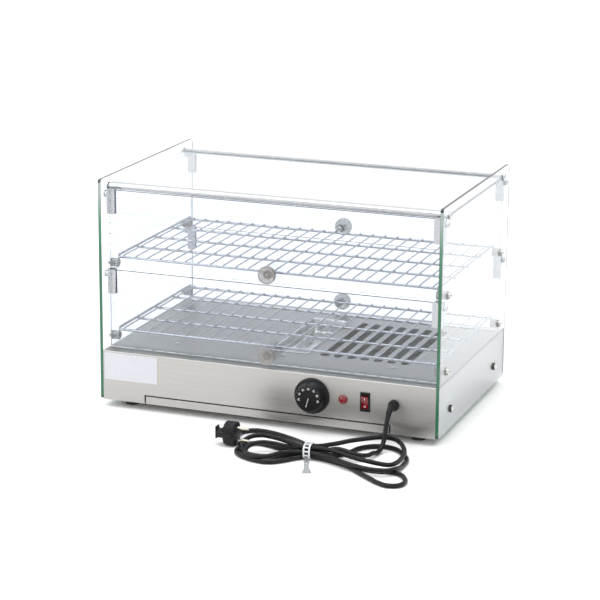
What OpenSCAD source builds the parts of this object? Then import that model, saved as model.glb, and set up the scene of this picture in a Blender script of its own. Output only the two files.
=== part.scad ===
// Counter-top warming display case for hot food: a steel base with a heater, glass sides and
// top, flap doors front and back on two levels, and two wire racks.
// Lengths are in millimetres and +Z is up. The operator's side with the controls faces -Y.
// Modules work from the middle of the case; placed() then puts the origin on the counter,
// under the middle of the bounding box, in which the thermostat knob is counted.

/* [Case] */
// Overall width over the two side panes
case_w = 554; // [480:1:670]
// Depth of a side pane
case_d = 361; // [330:1:440]
// Height of a side pane
glass_h = 351.5; // [330:0.5:430]
// Thickness of every pane
pane_t = 5; // [4:0.5:6]
// Corner radius of a side pane
glass_r = 5; // [3:0.5:10]

/* [Base] */
// Height of the steel base above its feet
base_h = 79.5; // [72:0.5:100]
// Thickness of the folded steel sheet
sheet_t = 1.2; // [0.8:0.1:1.6]
// Outside radius of the folds
fold_r = 2; // [1.8:0.1:3]
// Width of the flap that the bottom plate turns up at the front
flap_w = 399; // [340:1:430]
// Height of that flap
flap_h = 12; // [8:0.5:14]
// Gap between the flap and the cover above it
flap_gap = 2; // [1:0.5:3]
// Height of the rubber feet
foot_h = 12; // [8:0.5:15]
// Diameter of the feet
foot_d = 23; // [18:0.5:30]

/* [Deck] */
// Number of heat slots
slot_n = 7; // [3:1:7]
// Distance between two slots
slot_pitch = 21.8; // [20:0.1:22]
// Width of a slot
slot_w = 13.4; // [8:0.1:15]
// Width of the water pan over its rim
pan_w = 68; // [50:1:80]
// Depth of the water pan below the deck
pan_depth = 22; // [12:0.5:26]
// Space between the water pan and the edge of its opening
pan_gap = 1; // [0.5:0.1:2]

/* [Doors] */
// Diameter of the door knobs
knob_d = 28; // [22:0.5:32]
// Height of a hinge clip
clip_h = 39; // [30:0.5:50]
// Length of a hinge clip along the door's edge
clip_w = 13.3; // [10:0.1:18]
// Diameter of the hinge pins
pin_d = 4; // [3:0.1:4.5]
// Gap between the door panes and the parts above and below them
door_gap = 2; // [1:0.5:4]

/* [Racks] */
// Diameter of the long wires
wire_d = 4; // [3:0.1:5]
// Diameter of the cross wires
cross_d = 2.4; // [2:0.1:3]
// Aim for the distance between two cross wires
cross_pitch = 21; // [15:0.5:30]
// Diameter of the clear studs that carry the racks
stud_d = 14; // [11:0.5:18]
// Length of those studs
stud_l = 13; // [9:0.5:18]

/* [Controls] */
// Diameter of the thermostat knob's dial
dial_d = 56; // [46:0.5:60]
// How far the thermostat knob stands out of the front
dial_out = 17.5; // [13:0.5:28]
// Width of the switch bezel
switch_w = 15.5; // [12:0.5:20]
// Height of the switch bezel
switch_h = 30; // [24:0.5:34]
// Tilt of the rocker at rest, lower end pressed
rocker_tilt = 9; // [5:1:12]
// Diameter of the pilot lamp
lamp_d = 14.5; // [9:0.5:16]
// Diameter of the cable gland
gland_d = 17.5; // [14:0.5:20]

/* [Cord] */
// Diameter of the power cord
cord_d = 7; // [6:0.1:8]

/* [Fits] */
// Radial clearance of a turning pin or shaft
run_fit = 0.05; // [0.02:0.01:0.1]
// Radial clearance of a screw in its hole
screw_gap = 0.2; // [0.1:0.05:0.4]
// Gap between pieces that move past each other
move_gap = 0.3; // [0.3:0.05:0.6]

/* [Hidden] */
$fn = 48;

// Where the case's middle stands in the frame, so that the knob is inside a centred box
mid_y = dial_out / 2;

// Main levels and faces
half_w = case_w / 2;
in_x = half_w - pane_t;
front = case_d / 2;
deck_z = foot_h + base_h;
case_top = foot_h + glass_h;

// Rails that carry the top pane, and how far in from the edges they lie
rail_r = 5;
rail_z = case_top - 16;
rail_y = front - 33.5;
rail_deep = 14;
rail_groove = pane_t + 0.2;
top_pane_edge = rail_y - 4.5;

// Door hinges
hinge_y = front - 22;
upper_hinge_z = rail_z - 10;
lower_hinge_z = deck_z + 119;
door_over = 6.5;
door_half_w = in_x - 4.5;
upper_door_bottom = lower_hinge_z + door_over + 4;
lower_door_bottom = deck_z + door_gap;
knob_up = 16.5;
knob_neck_d = 14;
knob_neck_l = 10;
knob_head_l = 9;
clip_top = 8;
clip_cheek = 2.2;
clip_end = in_x - 1.2;
bush_d = 8;

// Racks and their studs
stud_y = front - 37.1;
upper_stud_z = deck_z + 134;
lower_stud_z = deck_z + 16.5;
rack_half_d = front - 40.5;
rack_half_w = in_x - 9;
rack_rest = stud_d / 2 + wire_d / 2 + move_gap;
rack_lift = sqrt(pow(rack_rest, 2) - pow(stud_y - rack_half_d, 2));
wire_bite = 0.3;
cross_span = 2 * rack_half_w - 20.6;
cross_n = 1 + round(cross_span / cross_pitch);

// Deck cut-outs
pan_front = -front + 98.5;
pan_back = front - 58.5;
slot_front = -front + 100.5;
slot_back = front - 58.5;
slot_first = in_x - 82.7 - (slot_n - 1) * slot_pitch;
pan_rim = 4;
pan_wall = 0.8;
deck_screw_y = -front + 77.5;
deck_screw_x = in_x - 92;

// Inside the base
tray_y = -front + 88.5;
tray_z = foot_h + 18;
tray_t = 0.8;
tray_half_w = in_x - 60;
element_z = foot_h + 36;
element_d = 8;
element_r = 20;
element_left = slot_first + (slot_n - 1) * slot_pitch / 2 - 3 * element_r;
element_right = element_left + 6 * element_r;
plate_t = 1.5;
flap_end_gap = 2.5;

// Controls, measured from the right-hand end of the front
control_z = foot_h + 45.5;
dial_x = in_x - 195.8;
lamp_x = in_x - 145.8;
switch_x = in_x - 110.7;
gland_x = in_x - 65.4;
gland_out = 14.5;
shaft_d = 6;
pivot_d = 3;
pivot_y = 1;
bush_out_d = 10;
bezel_side = 2.7;
bezel_end = 4.3;
rocker_l = switch_h - 2 * bezel_end - 2 * move_gap - 1;
rocker_w = switch_w - 2 * bezel_side - 2 * move_gap;

// Screws
m5 = 5;
m4 = 4;
side_screw_y = front - 61.5;
side_screw_z = foot_h + 31;
foot_x = half_w - 39.5;
foot_y = front - 30.5;

// The cord's lead from the gland to the top of the hank, from the case's middle
hank_h = 24;
lead_route = [[206.6, -190.5, 57.5], [206.6, -197.4, 57.2], [206.5, -203.1, 52.7],
    [206.6, -207.9, 47.6],
    [206.7, -212, 41.9], [206.8, -216.1, 35.1], [206.9, -220.7, 26.2], [206.5, -229.8, 12]];
// The cord's tail from the plug to the hank's waist
tail_route = [[-15, -258.8, 12], [-15.2, -252.5, 11.4], [-16.5, -246.8, 8.5], [-18.2, -239.9, 5],
    [-17.7, -231.1, 3.6], [-6.8, -218.9, 3.5], [9.6, -215.3, 3.5], [26.3, -218, 3.5],
    [42.3, -223.5, 3.5], [57.5, -231, 4.2], [70.8, -241.3, 5.9], [82.9, -253, 8.1],
    [93.8, -265.7, 10.7], [100.7, -280.6, 14.5]];
tie_x = 115;
tie_y = -298;
tie_w = 11;
tie_t = 1.6;
plug_x = -15;
plug_y = -283;
plug_d = 37;
plug_l = 22;
plug_flat = 26;
plug_boss = 27;
plug_boss_z = 12;

module placed() {
    translate([0, mid_y, 0]) children();
}

// Both ends, both long sides, or all four corners
module both_x() {
    children();
    mirror([1, 0, 0]) children();
}

module both_y() {
    children();
    mirror([0, 1, 0]) children();
}

module corners() {
    both_x() both_y() children();
}

// A cylinder along X that starts at x and runs outwards
module rod_x(x, l, d) {
    translate([x, 0, 0]) rotate([0, 90, 0]) cylinder(h = l, d = d);
}

// A cylinder along Y that starts at y and runs to the back
module rod_y(y, l, d) {
    translate([0, y, 0]) rotate([-90, 0, 0]) cylinder(h = l, d = d);
}

// A rectangle with round corners, made only of squares and circles
module round_rect(w, d, r) {
    square([w - 2 * r, d], center = true);
    square([w, d - 2 * r], center = true);
    for (x = [-1, 1], y = [-1, 1]) translate([x * (w / 2 - r), y * (d / 2 - r)]) circle(r);
}

// A slot with round ends between two Y positions
module slot_2d(y0, y1, w) {
    translate([-w / 2, y0 + w / 2]) square([w, y1 - y0 - w]);
    for (y = [y0 + w / 2, y1 - w / 2]) translate([0, y]) circle(d = w);
}

// ---- Steel base ----

// Cross-section of the folded cover, open at the bottom
module fold_2d(inset, r) {
    w = case_d - 2 * inset;
    top = deck_z - inset;
    translate([-w / 2, foot_h]) square([w, top - r - foot_h]);
    translate([-w / 2 + r, foot_h]) square([w - 2 * r, top - foot_h]);
    for (s = [-1, 1]) translate([s * (w / 2 - r), top - r]) circle(r);
}

module pan_2d(grow) {
    translate([0, (pan_front + pan_back) / 2])
        round_rect(pan_w + 2 * grow, pan_back - pan_front + 2 * grow, 10 + grow);
}

module base_cover() color("silver") {
    difference() {
        rotate([90, 0, 90]) linear_extrude(2 * in_x, center = true) difference() {
            fold_2d(0, fold_r);
            fold_2d(sheet_t, fold_r - sheet_t);
        }
        translate([0, 0, deck_z - 3]) linear_extrude(6) {
            for (k = [0 : slot_n - 1])
                translate([slot_first + k * slot_pitch, 0]) slot_2d(slot_front, slot_back, slot_w);
            pan_2d(pan_gap - pan_rim);
            for (x = [-deck_screw_x, 0, deck_screw_x])
                translate([x, deck_screw_y]) circle(d = m4 + 2 * screw_gap);
        }
        translate([-flap_w / 2 - flap_end_gap, -front - 1, foot_h - 1])
            cube([flap_w + 2 * flap_end_gap, sheet_t + 2, flap_h + flap_gap + 1]);
        translate([dial_x, -front - 1, control_z]) rod_y(0, 4, bush_out_d + 2 * screw_gap);
        translate([lamp_x, -front - 1, control_z]) rod_y(0, 4, lamp_d - 3);
        translate([gland_x, -front - 1, control_z]) rod_y(0, 4, gland_d - 5.1);
        translate([switch_x - switch_w / 2 + 1.2, -front - 1, control_z - switch_h / 2 + 1.5])
            cube([switch_w - 2.4, 4, switch_h - 3]);
    }
}

module side_plates() color("silver") {
    both_x() difference() {
        union() {
            translate([in_x - plate_t, -front + fold_r, foot_h])
                cube([plate_t, case_d - 2 * fold_r, base_h - sheet_t]);
            translate([in_x - 16, -front + 20, foot_h + sheet_t])
                cube([16 - plate_t / 2, case_d - 40, sheet_t]);
        }
        both_y() translate([in_x - 5, side_screw_y, side_screw_z])
            rod_x(0, 10, m5 + 2 * screw_gap);
        for (y = [-100, 0, 100]) translate([in_x - 10, y, foot_h - 1])
            cylinder(h = 5, d = m4 + 2 * screw_gap);
    }
}

module bottom_plate() color("silver") {
    difference() {
        union() {
            translate([-in_x + plate_t, -front + sheet_t, foot_h])
                cube([2 * (in_x - plate_t), case_d - 2 * sheet_t, sheet_t]);
            translate([-flap_w / 2, -front, foot_h]) cube([flap_w, sheet_t, flap_h]);
            translate([-flap_w / 2, -front, foot_h]) cube([flap_w, 2 * sheet_t, sheet_t]);
        }
        corners() translate([foot_x, foot_y, foot_h - 1]) cylinder(h = 5, d = m4 + 2 * screw_gap);
        both_x() for (y = [-100, 0, 100]) translate([in_x - 10, y, foot_h - 1])
            cylinder(h = 5, d = m4 + 2 * screw_gap);
        for (k = [-4 : 4]) translate([k * 40, 0, foot_h - 1])
            linear_extrude(5) slot_2d(-front + 28, -front + 68, 5);
    }
}

module feet() color("dimgray") {
    corners() translate([foot_x, foot_y, 0]) difference() {
        cylinder(h = foot_h, d1 = foot_d - 2, d2 = foot_d);
        translate([0, 0, -1]) cylinder(h = 6, d = 10);
        cylinder(h = foot_h + 1, d = m4 + 2 * screw_gap);
    }
}

// A screw that points up, with its seat at z = 0, and a plain ring nut on it
module screw_up(d, l, head_d, head_l) {
    translate([0, 0, -head_l]) cylinder(h = head_l, d = head_d);
    translate([0, 0, -0.5]) cylinder(h = l + 0.5, d = d);
}

module nut(d, flats, l) {
    difference() {
        cylinder(h = l, d = flats / cos(30), $fn = 6);
        translate([0, 0, -1]) cylinder(h = l + 2, d = d + 0.1);
    }
}

module foot_screws() color("gray") {
    corners() translate([foot_x, foot_y, 5]) screw_up(m4, foot_h + 2, 8, 2.5);
    corners() translate([foot_x, foot_y, foot_h + sheet_t]) nut(m4, 7, 3.2);
}

module bottom_screws() color("gray") {
    both_x() for (y = [-100, 0, 100]) translate([in_x - 10, y, foot_h])
        screw_up(m4, 8, 7.5, 2);
}

module deck_screws() color("silver") {
    for (x = [-deck_screw_x, 0, deck_screw_x]) translate([x, deck_screw_y, deck_z])
        mirror([0, 0, 1]) screw_up(m4, 9, 8, 2);
    for (x = [-deck_screw_x, 0, deck_screw_x])
        translate([x, deck_screw_y, deck_z - sheet_t - tray_t - 3.2]) nut(m4, 7, 3.2);
}

// ---- Glass, rails ----

module side_pane() {
    difference() {
        translate([in_x, 0, foot_h + glass_h / 2]) rotate([90, 0, 90])
            linear_extrude(pane_t) round_rect(case_d, glass_h, glass_r);
        both_y() translate([in_x - 1, 0, 0]) {
            translate([0, side_screw_y, side_screw_z]) rod_x(0, pane_t + 2, m5 + 2 * screw_gap);
            translate([0, rail_y, rail_z]) rod_x(0, pane_t + 2, m4 + 2 * screw_gap);
            for (z = [upper_hinge_z, lower_hinge_z])
                translate([0, hinge_y, z]) rod_x(0, pane_t + 2, bush_d + 2 * run_fit);
            for (z = [upper_stud_z, lower_stud_z])
                translate([0, stud_y, z]) rod_x(0, pane_t + 2, m5 + 2 * screw_gap);
        }
    }
}

module glass_side_right() color("lightblue", 0.35) side_pane();

module glass_side_left() color("lightblue", 0.35) mirror([1, 0, 0]) side_pane();

module glass_screws() color("silver") {
    corners() translate([half_w, side_screw_y, side_screw_z]) {
        translate([1.5, 0, 0]) rotate([0, -90, 0]) screw_up(m5, 16, 8.5, 3);
        translate([-pane_t - plate_t, 0, 0]) rotate([0, -90, 0]) nut(m5, 8, 4);
    }
}

module glass_washers() color("dimgray") {
    corners() translate([half_w, side_screw_y, side_screw_z]) difference() {
        rod_x(0, 1.5, 12);
        rod_x(-1, 4, m5 + 2 * screw_gap);
    }
}

module glass_top() color("lightblue", 0.35) {
    translate([-in_x + 0.5, -top_pane_edge, rail_z - pane_t / 2])
        cube([2 * in_x - 1, 2 * top_pane_edge, pane_t]);
}

// A rail along X with a half-round outer edge and a groove for the top pane
module rail() {
    difference() {
        rotate([90, 0, 90]) linear_extrude(2 * in_x, center = true) difference() {
            union() {
                translate([rail_y, rail_z]) circle(rail_r);
                translate([rail_y + rail_r - rail_deep, rail_z - rail_r])
                    square([rail_deep - rail_r, 2 * rail_r]);
            }
            translate([rail_y - rail_deep, rail_z - rail_groove / 2])
                square([rail_deep - 4.5, rail_groove]);
        }
        both_x() translate([in_x - 14, rail_y, rail_z]) rod_x(0, 20, m4 + 2 * screw_gap);
    }
}

module rail_back() color("gainsboro") rail();

module rail_front() color("gainsboro") mirror([0, 1, 0]) rail();

module rail_screws() color("gainsboro") {
    corners() translate([half_w, rail_y, rail_z]) {
        rotate([0, -90, 0]) screw_up(m4, 18, 12.5, 3.5);
    }
}

// ---- Racks ----

// The long wires carry the cross wires; the wires are welded, so they sink into each other
module rack(z) {
    pitch = rack_half_d / 2;
    for (k = [-2 : 2])
        translate([0, k * pitch, z]) rod_x(-rack_half_w, 2 * rack_half_w, wire_d, $fn = 20);
    step = cross_span / (cross_n - 1);
    top = z + wire_d / 2 + cross_d / 2 - wire_bite;
    for (k = [0 : cross_n - 1])
        translate([-cross_span / 2 + k * step, 0, top])
            rod_y(-rack_half_d - 2, 2 * rack_half_d + 4, cross_d, $fn = 16);
    for (s = [-1, 1])
        translate([s * (rack_half_w - 2.5), 0, z + wire_d - wire_bite])
            rod_y(-rack_half_d - 2, 2 * rack_half_d + 4, wire_d, $fn = 20);
}

module rack_upper() color("lightgray") rack(upper_stud_z + rack_lift);

module rack_lower() color("lightgray") rack(lower_stud_z + rack_lift);

module each_stud() {
    corners() for (z = [upper_stud_z, lower_stud_z]) translate([0, stud_y, z]) children();
}

module rack_studs() color("lightcyan", 0.6) {
    each_stud() difference() {
        rod_x(in_x - stud_l, stud_l, stud_d);
        rod_x(in_x - 9, 10, m5 + 2 * screw_gap);
    }
}

module stud_bolts() color("silver") {
    each_stud() translate([half_w, 0, 0]) rotate([0, -90, 0]) screw_up(m5, 13, 10.7, 3.5);
}

// ---- Doors ----

// Puts a back door's pieces on the front
module side_of(front_side) {
    if (front_side) mirror([0, 1, 0]) children();
    else children();
}

module hinge_bushes() color("whitesmoke") {
    corners() for (z = [upper_hinge_z, lower_hinge_z]) translate([0, hinge_y, z]) difference() {
        union() {
            rod_x(in_x, pane_t + 1, bush_d);
            rod_x(half_w, 2.5, 10.5);
        }
        rod_x(in_x - 1, pane_t + 6, pin_d + 2 * run_fit);
    }
}

module door_pane(hinge_z, bottom) {
    top = hinge_z + door_over;
    difference() {
        translate([-door_half_w, hinge_y - pane_t / 2, bottom])
            cube([2 * door_half_w, pane_t, top - bottom]);
        translate([0, hinge_y - pane_t, bottom + knob_up])
            rod_y(0, 2 * pane_t, m5 + 2 * screw_gap);
    }
}

// A clip holds an upper corner of the door and turns on a pin
module clips(hinge_z) {
    deep = pane_t + 2 * clip_cheek;
    r = 3;
    both_x() translate([0, hinge_y, hinge_z]) difference() {
        union() {
            translate([clip_end - clip_w, -deep / 2, clip_top - clip_h])
                cube([clip_w, deep, clip_h - r]);
            translate([clip_end - clip_w + r, -deep / 2, clip_top - r]) cube([clip_w - r, deep, r]);
            translate([clip_end - clip_w + r, 0, clip_top - r]) rod_y(-deep / 2, deep, 2 * r);
            rod_x(clip_end - 1, 1 + in_x - clip_end - move_gap, pin_d + 4);
        }
        translate([clip_end - clip_w - 1, -pane_t / 2, clip_top - clip_h - 1])
            cube([door_half_w - clip_end + clip_w + 1, pane_t, clip_h - clip_top + door_over + 1]);
        rod_x(door_half_w + 0.5, 10, pin_d + 0.04);
    }
}

module pins(hinge_z) {
    both_x() translate([0, hinge_y, hinge_z])
        rod_x(door_half_w + 0.5, half_w + 3.5 - door_half_w - 0.5, pin_d);
}

module knob(bottom) {
    translate([0, hinge_y + pane_t / 2, bottom + knob_up]) rotate([-90, 0, 0]) difference() {
        rotate_extrude() {
            square([knob_neck_d / 2, knob_neck_l + 1]);
            translate([0, knob_neck_l]) square([knob_d / 2 - 2, knob_head_l]);
            translate([0, knob_neck_l + 2]) square([knob_d / 2, knob_head_l - 4]);
            translate([knob_d / 2 - 2, knob_neck_l + 2]) circle(2);
            translate([knob_d / 2 - 2, knob_neck_l + knob_head_l - 2]) circle(2);
        }
        translate([0, 0, -1]) cylinder(h = 13, d = m5 + 2 * screw_gap);
    }
}

// The knob's bolt, with its head inside the case
module knob_bolt(bottom) {
    translate([0, hinge_y - pane_t / 2, bottom + knob_up]) rotate([-90, 0, 0])
        screw_up(m5, 15, 9, 3);
}

module door_front_upper() color("lightblue", 0.35)
    side_of(true) door_pane(upper_hinge_z, upper_door_bottom);

module clips_front_upper() color("gainsboro") side_of(true) clips(upper_hinge_z);

module pins_front_upper() color("silver") side_of(true) pins(upper_hinge_z);

module knob_front_upper() color("lightgray") side_of(true) knob(upper_door_bottom);

module bolt_front_upper() color("silver") side_of(true) knob_bolt(upper_door_bottom);

module door_front_lower() color("lightblue", 0.35)
    side_of(true) door_pane(lower_hinge_z, lower_door_bottom);

module clips_front_lower() color("gainsboro") side_of(true) clips(lower_hinge_z);

module pins_front_lower() color("silver") side_of(true) pins(lower_hinge_z);

module knob_front_lower() color("lightgray") side_of(true) knob(lower_door_bottom);

module bolt_front_lower() color("silver") side_of(true) knob_bolt(lower_door_bottom);

module door_back_upper() color("lightblue", 0.35)
    side_of(false) door_pane(upper_hinge_z, upper_door_bottom);

module clips_back_upper() color("gainsboro") side_of(false) clips(upper_hinge_z);

module pins_back_upper() color("silver") side_of(false) pins(upper_hinge_z);

module knob_back_upper() color("lightgray") side_of(false) knob(upper_door_bottom);

module bolt_back_upper() color("silver") side_of(false) knob_bolt(upper_door_bottom);

module door_back_lower() color("lightblue", 0.35)
    side_of(false) door_pane(lower_hinge_z, lower_door_bottom);

module clips_back_lower() color("gainsboro") side_of(false) clips(lower_hinge_z);

module pins_back_lower() color("silver") side_of(false) pins(lower_hinge_z);

module knob_back_lower() color("lightgray") side_of(false) knob(lower_door_bottom);

module bolt_back_lower() color("silver") side_of(false) knob_bolt(lower_door_bottom);

// ---- Water pan and heater ----

module water_pan() color("lightgray") {
    difference() {
        union() {
            translate([0, 0, deck_z + move_gap]) linear_extrude(1) pan_2d(0);
            translate([0, 0, deck_z - pan_depth])
                linear_extrude(pan_depth + move_gap + 0.5) pan_2d(-pan_rim);
        }
        translate([0, 0, deck_z - pan_depth + pan_wall])
            linear_extrude(pan_depth + 5) pan_2d(-pan_rim - pan_wall);
    }
}

// A folded tray under the deck: it keeps the heater's warmth from the controls
module heater_tray() color("gray") {
    back = front - 40;
    under = deck_z - sheet_t;
    difference() {
        union() {
            translate([-tray_half_w, tray_y - 20, under - tray_t])
                cube([2 * tray_half_w, 20 + tray_t, tray_t]);
            translate([-tray_half_w, tray_y, tray_z])
                cube([2 * tray_half_w, tray_t, under - tray_z]);
            translate([-tray_half_w, tray_y, tray_z])
                cube([2 * tray_half_w, back - tray_y, tray_t]);
            translate([-tray_half_w, back - tray_t, tray_z])
                cube([2 * tray_half_w, tray_t, under - tray_z]);
        }
        for (x = [-deck_screw_x, 0, deck_screw_x]) translate([x, deck_screw_y, under - 3])
            cylinder(h = 4, d = m4 + 2 * screw_gap);
        for (x = [element_left, element_right]) translate([x, tray_y - 1, element_z])
            rod_y(0, 4, element_d + 2 * screw_gap);
        translate([dial_x, tray_y - 1, control_z]) rod_y(0, 4, 3);
    }
}

// One rod bent to and fro under the slots; both ends come out at the front
module heating_element() color("dimgray") {
    y0 = tray_y - 14;
    y1 = front - 70;
    y2 = tray_y + 40;
    translate([0, 0, element_z]) {
        for (x = [element_left, element_right]) translate([x, 0, 0]) rod_y(y0, y1 - y0, element_d);
        for (k = [1, 2]) translate([element_left + 2 * k * element_r, 0, 0])
            rod_y(y2, y1 - y2, element_d);
        for (k = [0, 2]) translate([element_left + (2 * k + 1) * element_r, y1, 0])
            rotate_extrude(angle = 180) translate([element_r, 0]) circle(d = element_d);
        translate([element_left + 3 * element_r, y2, 0]) rotate([0, 0, 180])
            rotate_extrude(angle = 180) translate([element_r, 0]) circle(d = element_d);
        for (x = [element_left, element_right]) translate([x, y0 - 8, 0]) rod_y(0, 9, 3);
    }
}

// Two combs stand in the tray and hold the rod; a post holds the thermostat's bulb
module element_clamps() color("silver") {
    floor_z = tray_z + tray_t;
    for (y = [0, 70]) difference() {
        translate([element_left - 9, y, floor_z])
            cube([6 * element_r + 18, 2, element_z - floor_z]);
        for (k = [0 : 3]) translate([element_left + 2 * k * element_r, y - 1, element_z])
            rod_y(0, 4, element_d + 0.1);
    }
    difference() {
        translate([dial_x - 4, tray_y + 60, floor_z]) cube([8, 2, control_z + 5 - floor_z]);
        translate([dial_x, tray_y + 59, control_z]) rod_y(0, 4, 6.6);
    }
}

// ---- Controls ----

// A dial with a numbered skirt and a straight grip across it
module thermostat_knob() color("black") {
    skirt = 4;
    translate([dial_x, -front - 0.5, control_z]) rotate([90, 0, 0]) difference() {
        union() {
            cylinder(h = skirt, d = dial_d);
            cylinder(h = dial_out - 0.5, d1 = dial_d - 8, d2 = dial_d - 14);
        }
        translate([0, 0, -1]) cylinder(h = dial_out - 4, d = shaft_d + 0.04);
        translate([0, 0, -1]) cylinder(h = 2.5, d = bush_out_d + 4);
    }
}

module thermostat_shaft() color("silver") {
    out = dial_out - 5;
    translate([dial_x, -front - out, control_z]) rod_y(0, out + sheet_t + 15.5, shaft_d);
}

module thermostat_body() color("gainsboro") {
    translate([dial_x, -front + sheet_t, control_z]) difference() {
        union() {
            translate([-18, 0, -18]) cube([36, 26, 36]);
            rod_y(-sheet_t - 1.2, 5, bush_out_d);
        }
        rod_y(-6, 22, shaft_d + 2 * run_fit);
    }
}

module thermostat_bulb() color("peru") {
    start = -front + sheet_t + 26;
    translate([dial_x, 0, control_z]) {
        rod_y(start, tray_y + 20 - start, 2);
        rod_y(tray_y + 19.5, 75, 6.4);
    }
}

module pilot_lamp() color("red") {
    translate([lamp_x, -front, control_z]) rotate([90, 0, 0]) {
        rotate_extrude() {
            square([lamp_d / 2, 1.2]);
            intersection() {
                translate([0, 1 - lamp_d / 2 * 0.5]) circle(lamp_d / 2 * 1.12);
                translate([0, 0.5]) square([lamp_d / 2 - 0.8, lamp_d]);
            }
        }
        translate([0, 0, -22]) cylinder(h = 22.5, d = lamp_d - 3.4);
    }
}

module switch_housing() color("black") {
    translate([switch_x, -front, control_z]) difference() {
        union() {
            translate([-switch_w / 2, -2, -switch_h / 2]) cube([switch_w, 2, switch_h]);
            translate([-switch_w / 2 + 1.4, -0.5, -switch_h / 2 + 1.7])
                cube([switch_w - 2.8, 20, switch_h - 3.4]);
        }
        translate([-switch_w / 2 + bezel_side, -5, -switch_h / 2 + bezel_end])
            cube([switch_w - 2 * bezel_side, 12, switch_h - 2 * bezel_end]);
        translate([0, pivot_y, 0]) rod_x(-switch_w, 2 * switch_w, pivot_d + 2 * run_fit);
    }
}

// The rocker turns on two stub pins of its own; seen from the side it is a shallow V
module switch_rocker() color("red") {
    l = rocker_l;
    w = rocker_w;
    translate([switch_x, -front + pivot_y, control_z]) rotate([rocker_tilt, 0, 0]) {
        intersection() {
            rotate([90, 0, 90]) linear_extrude(w, center = true)
                polygon([[-2.6, 0], [-4.2, l / 2], [1.2, l / 2 - 0.8], [3, 0],
                    [1.2, -l / 2 + 0.8], [-4.2, -l / 2]]);
            rotate([0, 90, 0]) cylinder(h = w + 2, d = l, center = true);
        }
        rod_x(-w / 2 - 0.8, w + 1.6, pivot_d);
    }
}

module terminal_block() color("ivory") {
    translate([gland_x - 60, -front + 40, foot_h + sheet_t]) difference() {
        cube([42, 20, 18]);
        for (k = [0 : 2]) translate([9 + 12 * k, 10, 8]) cylinder(h = 12, d = 5);
    }
}

module label_plate() color("white") {
    translate([-in_x + 2.3, -front - 0.4, deck_z - 46]) cube([89.7, 0.4, 43.2]);
}

// ---- Cord, hank, tie, plug ----

module cable_gland() color("black") {
    bore = cord_d + 0.4;
    translate([gland_x, -front, control_z]) rotate([90, 0, 0]) difference() {
        union() {
            cylinder(h = 4, d = gland_d);
            translate([0, 0, 4]) cylinder(h = 6, d1 = gland_d, d2 = gland_d - 6);
            cylinder(h = gland_out, d = cord_d + 3);
            translate([0, 0, -10]) cylinder(h = 11, d = gland_d - 5.5);
        }
        translate([0, 0, gland_out - 5]) cylinder(h = 6, d = bore);
    }
    translate([gland_x, -front + sheet_t, control_z]) rotate([-90, 0, 0])
        nut(gland_d - 5.5, gland_d + 1, 4);
}

function unit(v) = v / norm(v);
function heading(p, i) = unit(p[min(i + 1, len(p) - 1)] - p[max(i - 1, 0)]);
function across(t) = unit(cross(t, abs(t[0]) > 0.9 ? [0, 1, 0] : [1, 0, 0]));

// One closed tube along the points
module tube(p, d, sides) {
    n = len(p);
    rings = [for (i = [0 : n - 1]) let (t = heading(p, i), u = across(t), v = cross(t, u))
        for (k = [0 : sides - 1], a = [360 * k / sides]) p[i] + d / 2 * (cos(a) * u + sin(a) * v)];
    walls = [for (i = [0 : n - 2], k = [0 : sides - 1]) let (j = (k + 1) % sides)
        [i * sides + k, i * sides + j, (i + 1) * sides + j, (i + 1) * sides + k]];
    polyhedron(rings, concat(walls, [[for (k = [sides - 1 : -1 : 0]) k]],
        [[for (k = [0 : sides - 1]) (n - 1) * sides + k]]), convexity = 6);
}

module power_cord() color("black") {
    tube(lead_route, cord_d, 10);
    tube(tail_route, cord_d, 10);
}

// The bound figure-eight of cord as one flat pad with a lobe on each side of the tie
module cord_hank() color("black") {
    waist = 24;
    linear_extrude(hank_h) intersection() {
        hull() {
            translate([34.5, -287]) circle(18, $fn = 32);
            translate([27, -318]) circle(20, $fn = 32);
            translate([68, -326]) circle(20, $fn = 32);
            translate([tie_x, tie_y]) circle(d = waist, $fn = 32);
        }
        translate([0, -400]) square([tie_x - tie_w / 2, 200]);
    }
    linear_extrude(hank_h) intersection() {
        hull() {
            translate([tie_x, tie_y]) circle(d = waist, $fn = 32);
            translate([198, -235]) circle(18, $fn = 32);
            translate([237, -238]) circle(18, $fn = 32);
            translate([265, -342]) circle(20, $fn = 32);
            translate([258, -361]) circle(20, $fn = 32);
        }
        translate([tie_x + tie_w / 2, -400]) square([200, 200]);
    }
    translate([tie_x, tie_y, hank_h / 2]) rotate([90, 0, 90])
        linear_extrude(tie_w + 2, center = true)
            round_rect(waist - 2 * tie_t, hank_h - 2 * tie_t, 9 - tie_t);
}

// A strap round the waist, its lock in front and its free end on the counter
module cable_tie() color("white", 0.8) {
    translate([tie_x, tie_y, hank_h / 2]) rotate([90, 0, 90]) linear_extrude(tie_w, center = true)
        difference() {
            round_rect(24, hank_h, 9);
            round_rect(24 - 2 * tie_t, hank_h - 2 * tie_t, 9 - tie_t);
        }
    translate([tie_x - tie_w / 2, tie_y - 12 - 5, 7]) cube([tie_w, 6, 9]);
    translate([tie_x - 3.5, tie_y - 12 - 4, 0.5]) cube([7, tie_t, 8]);
    translate([tie_x - 3.5, tie_y - 12 - 40, 0]) cube([7, 38, 1.2]);
}

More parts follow.
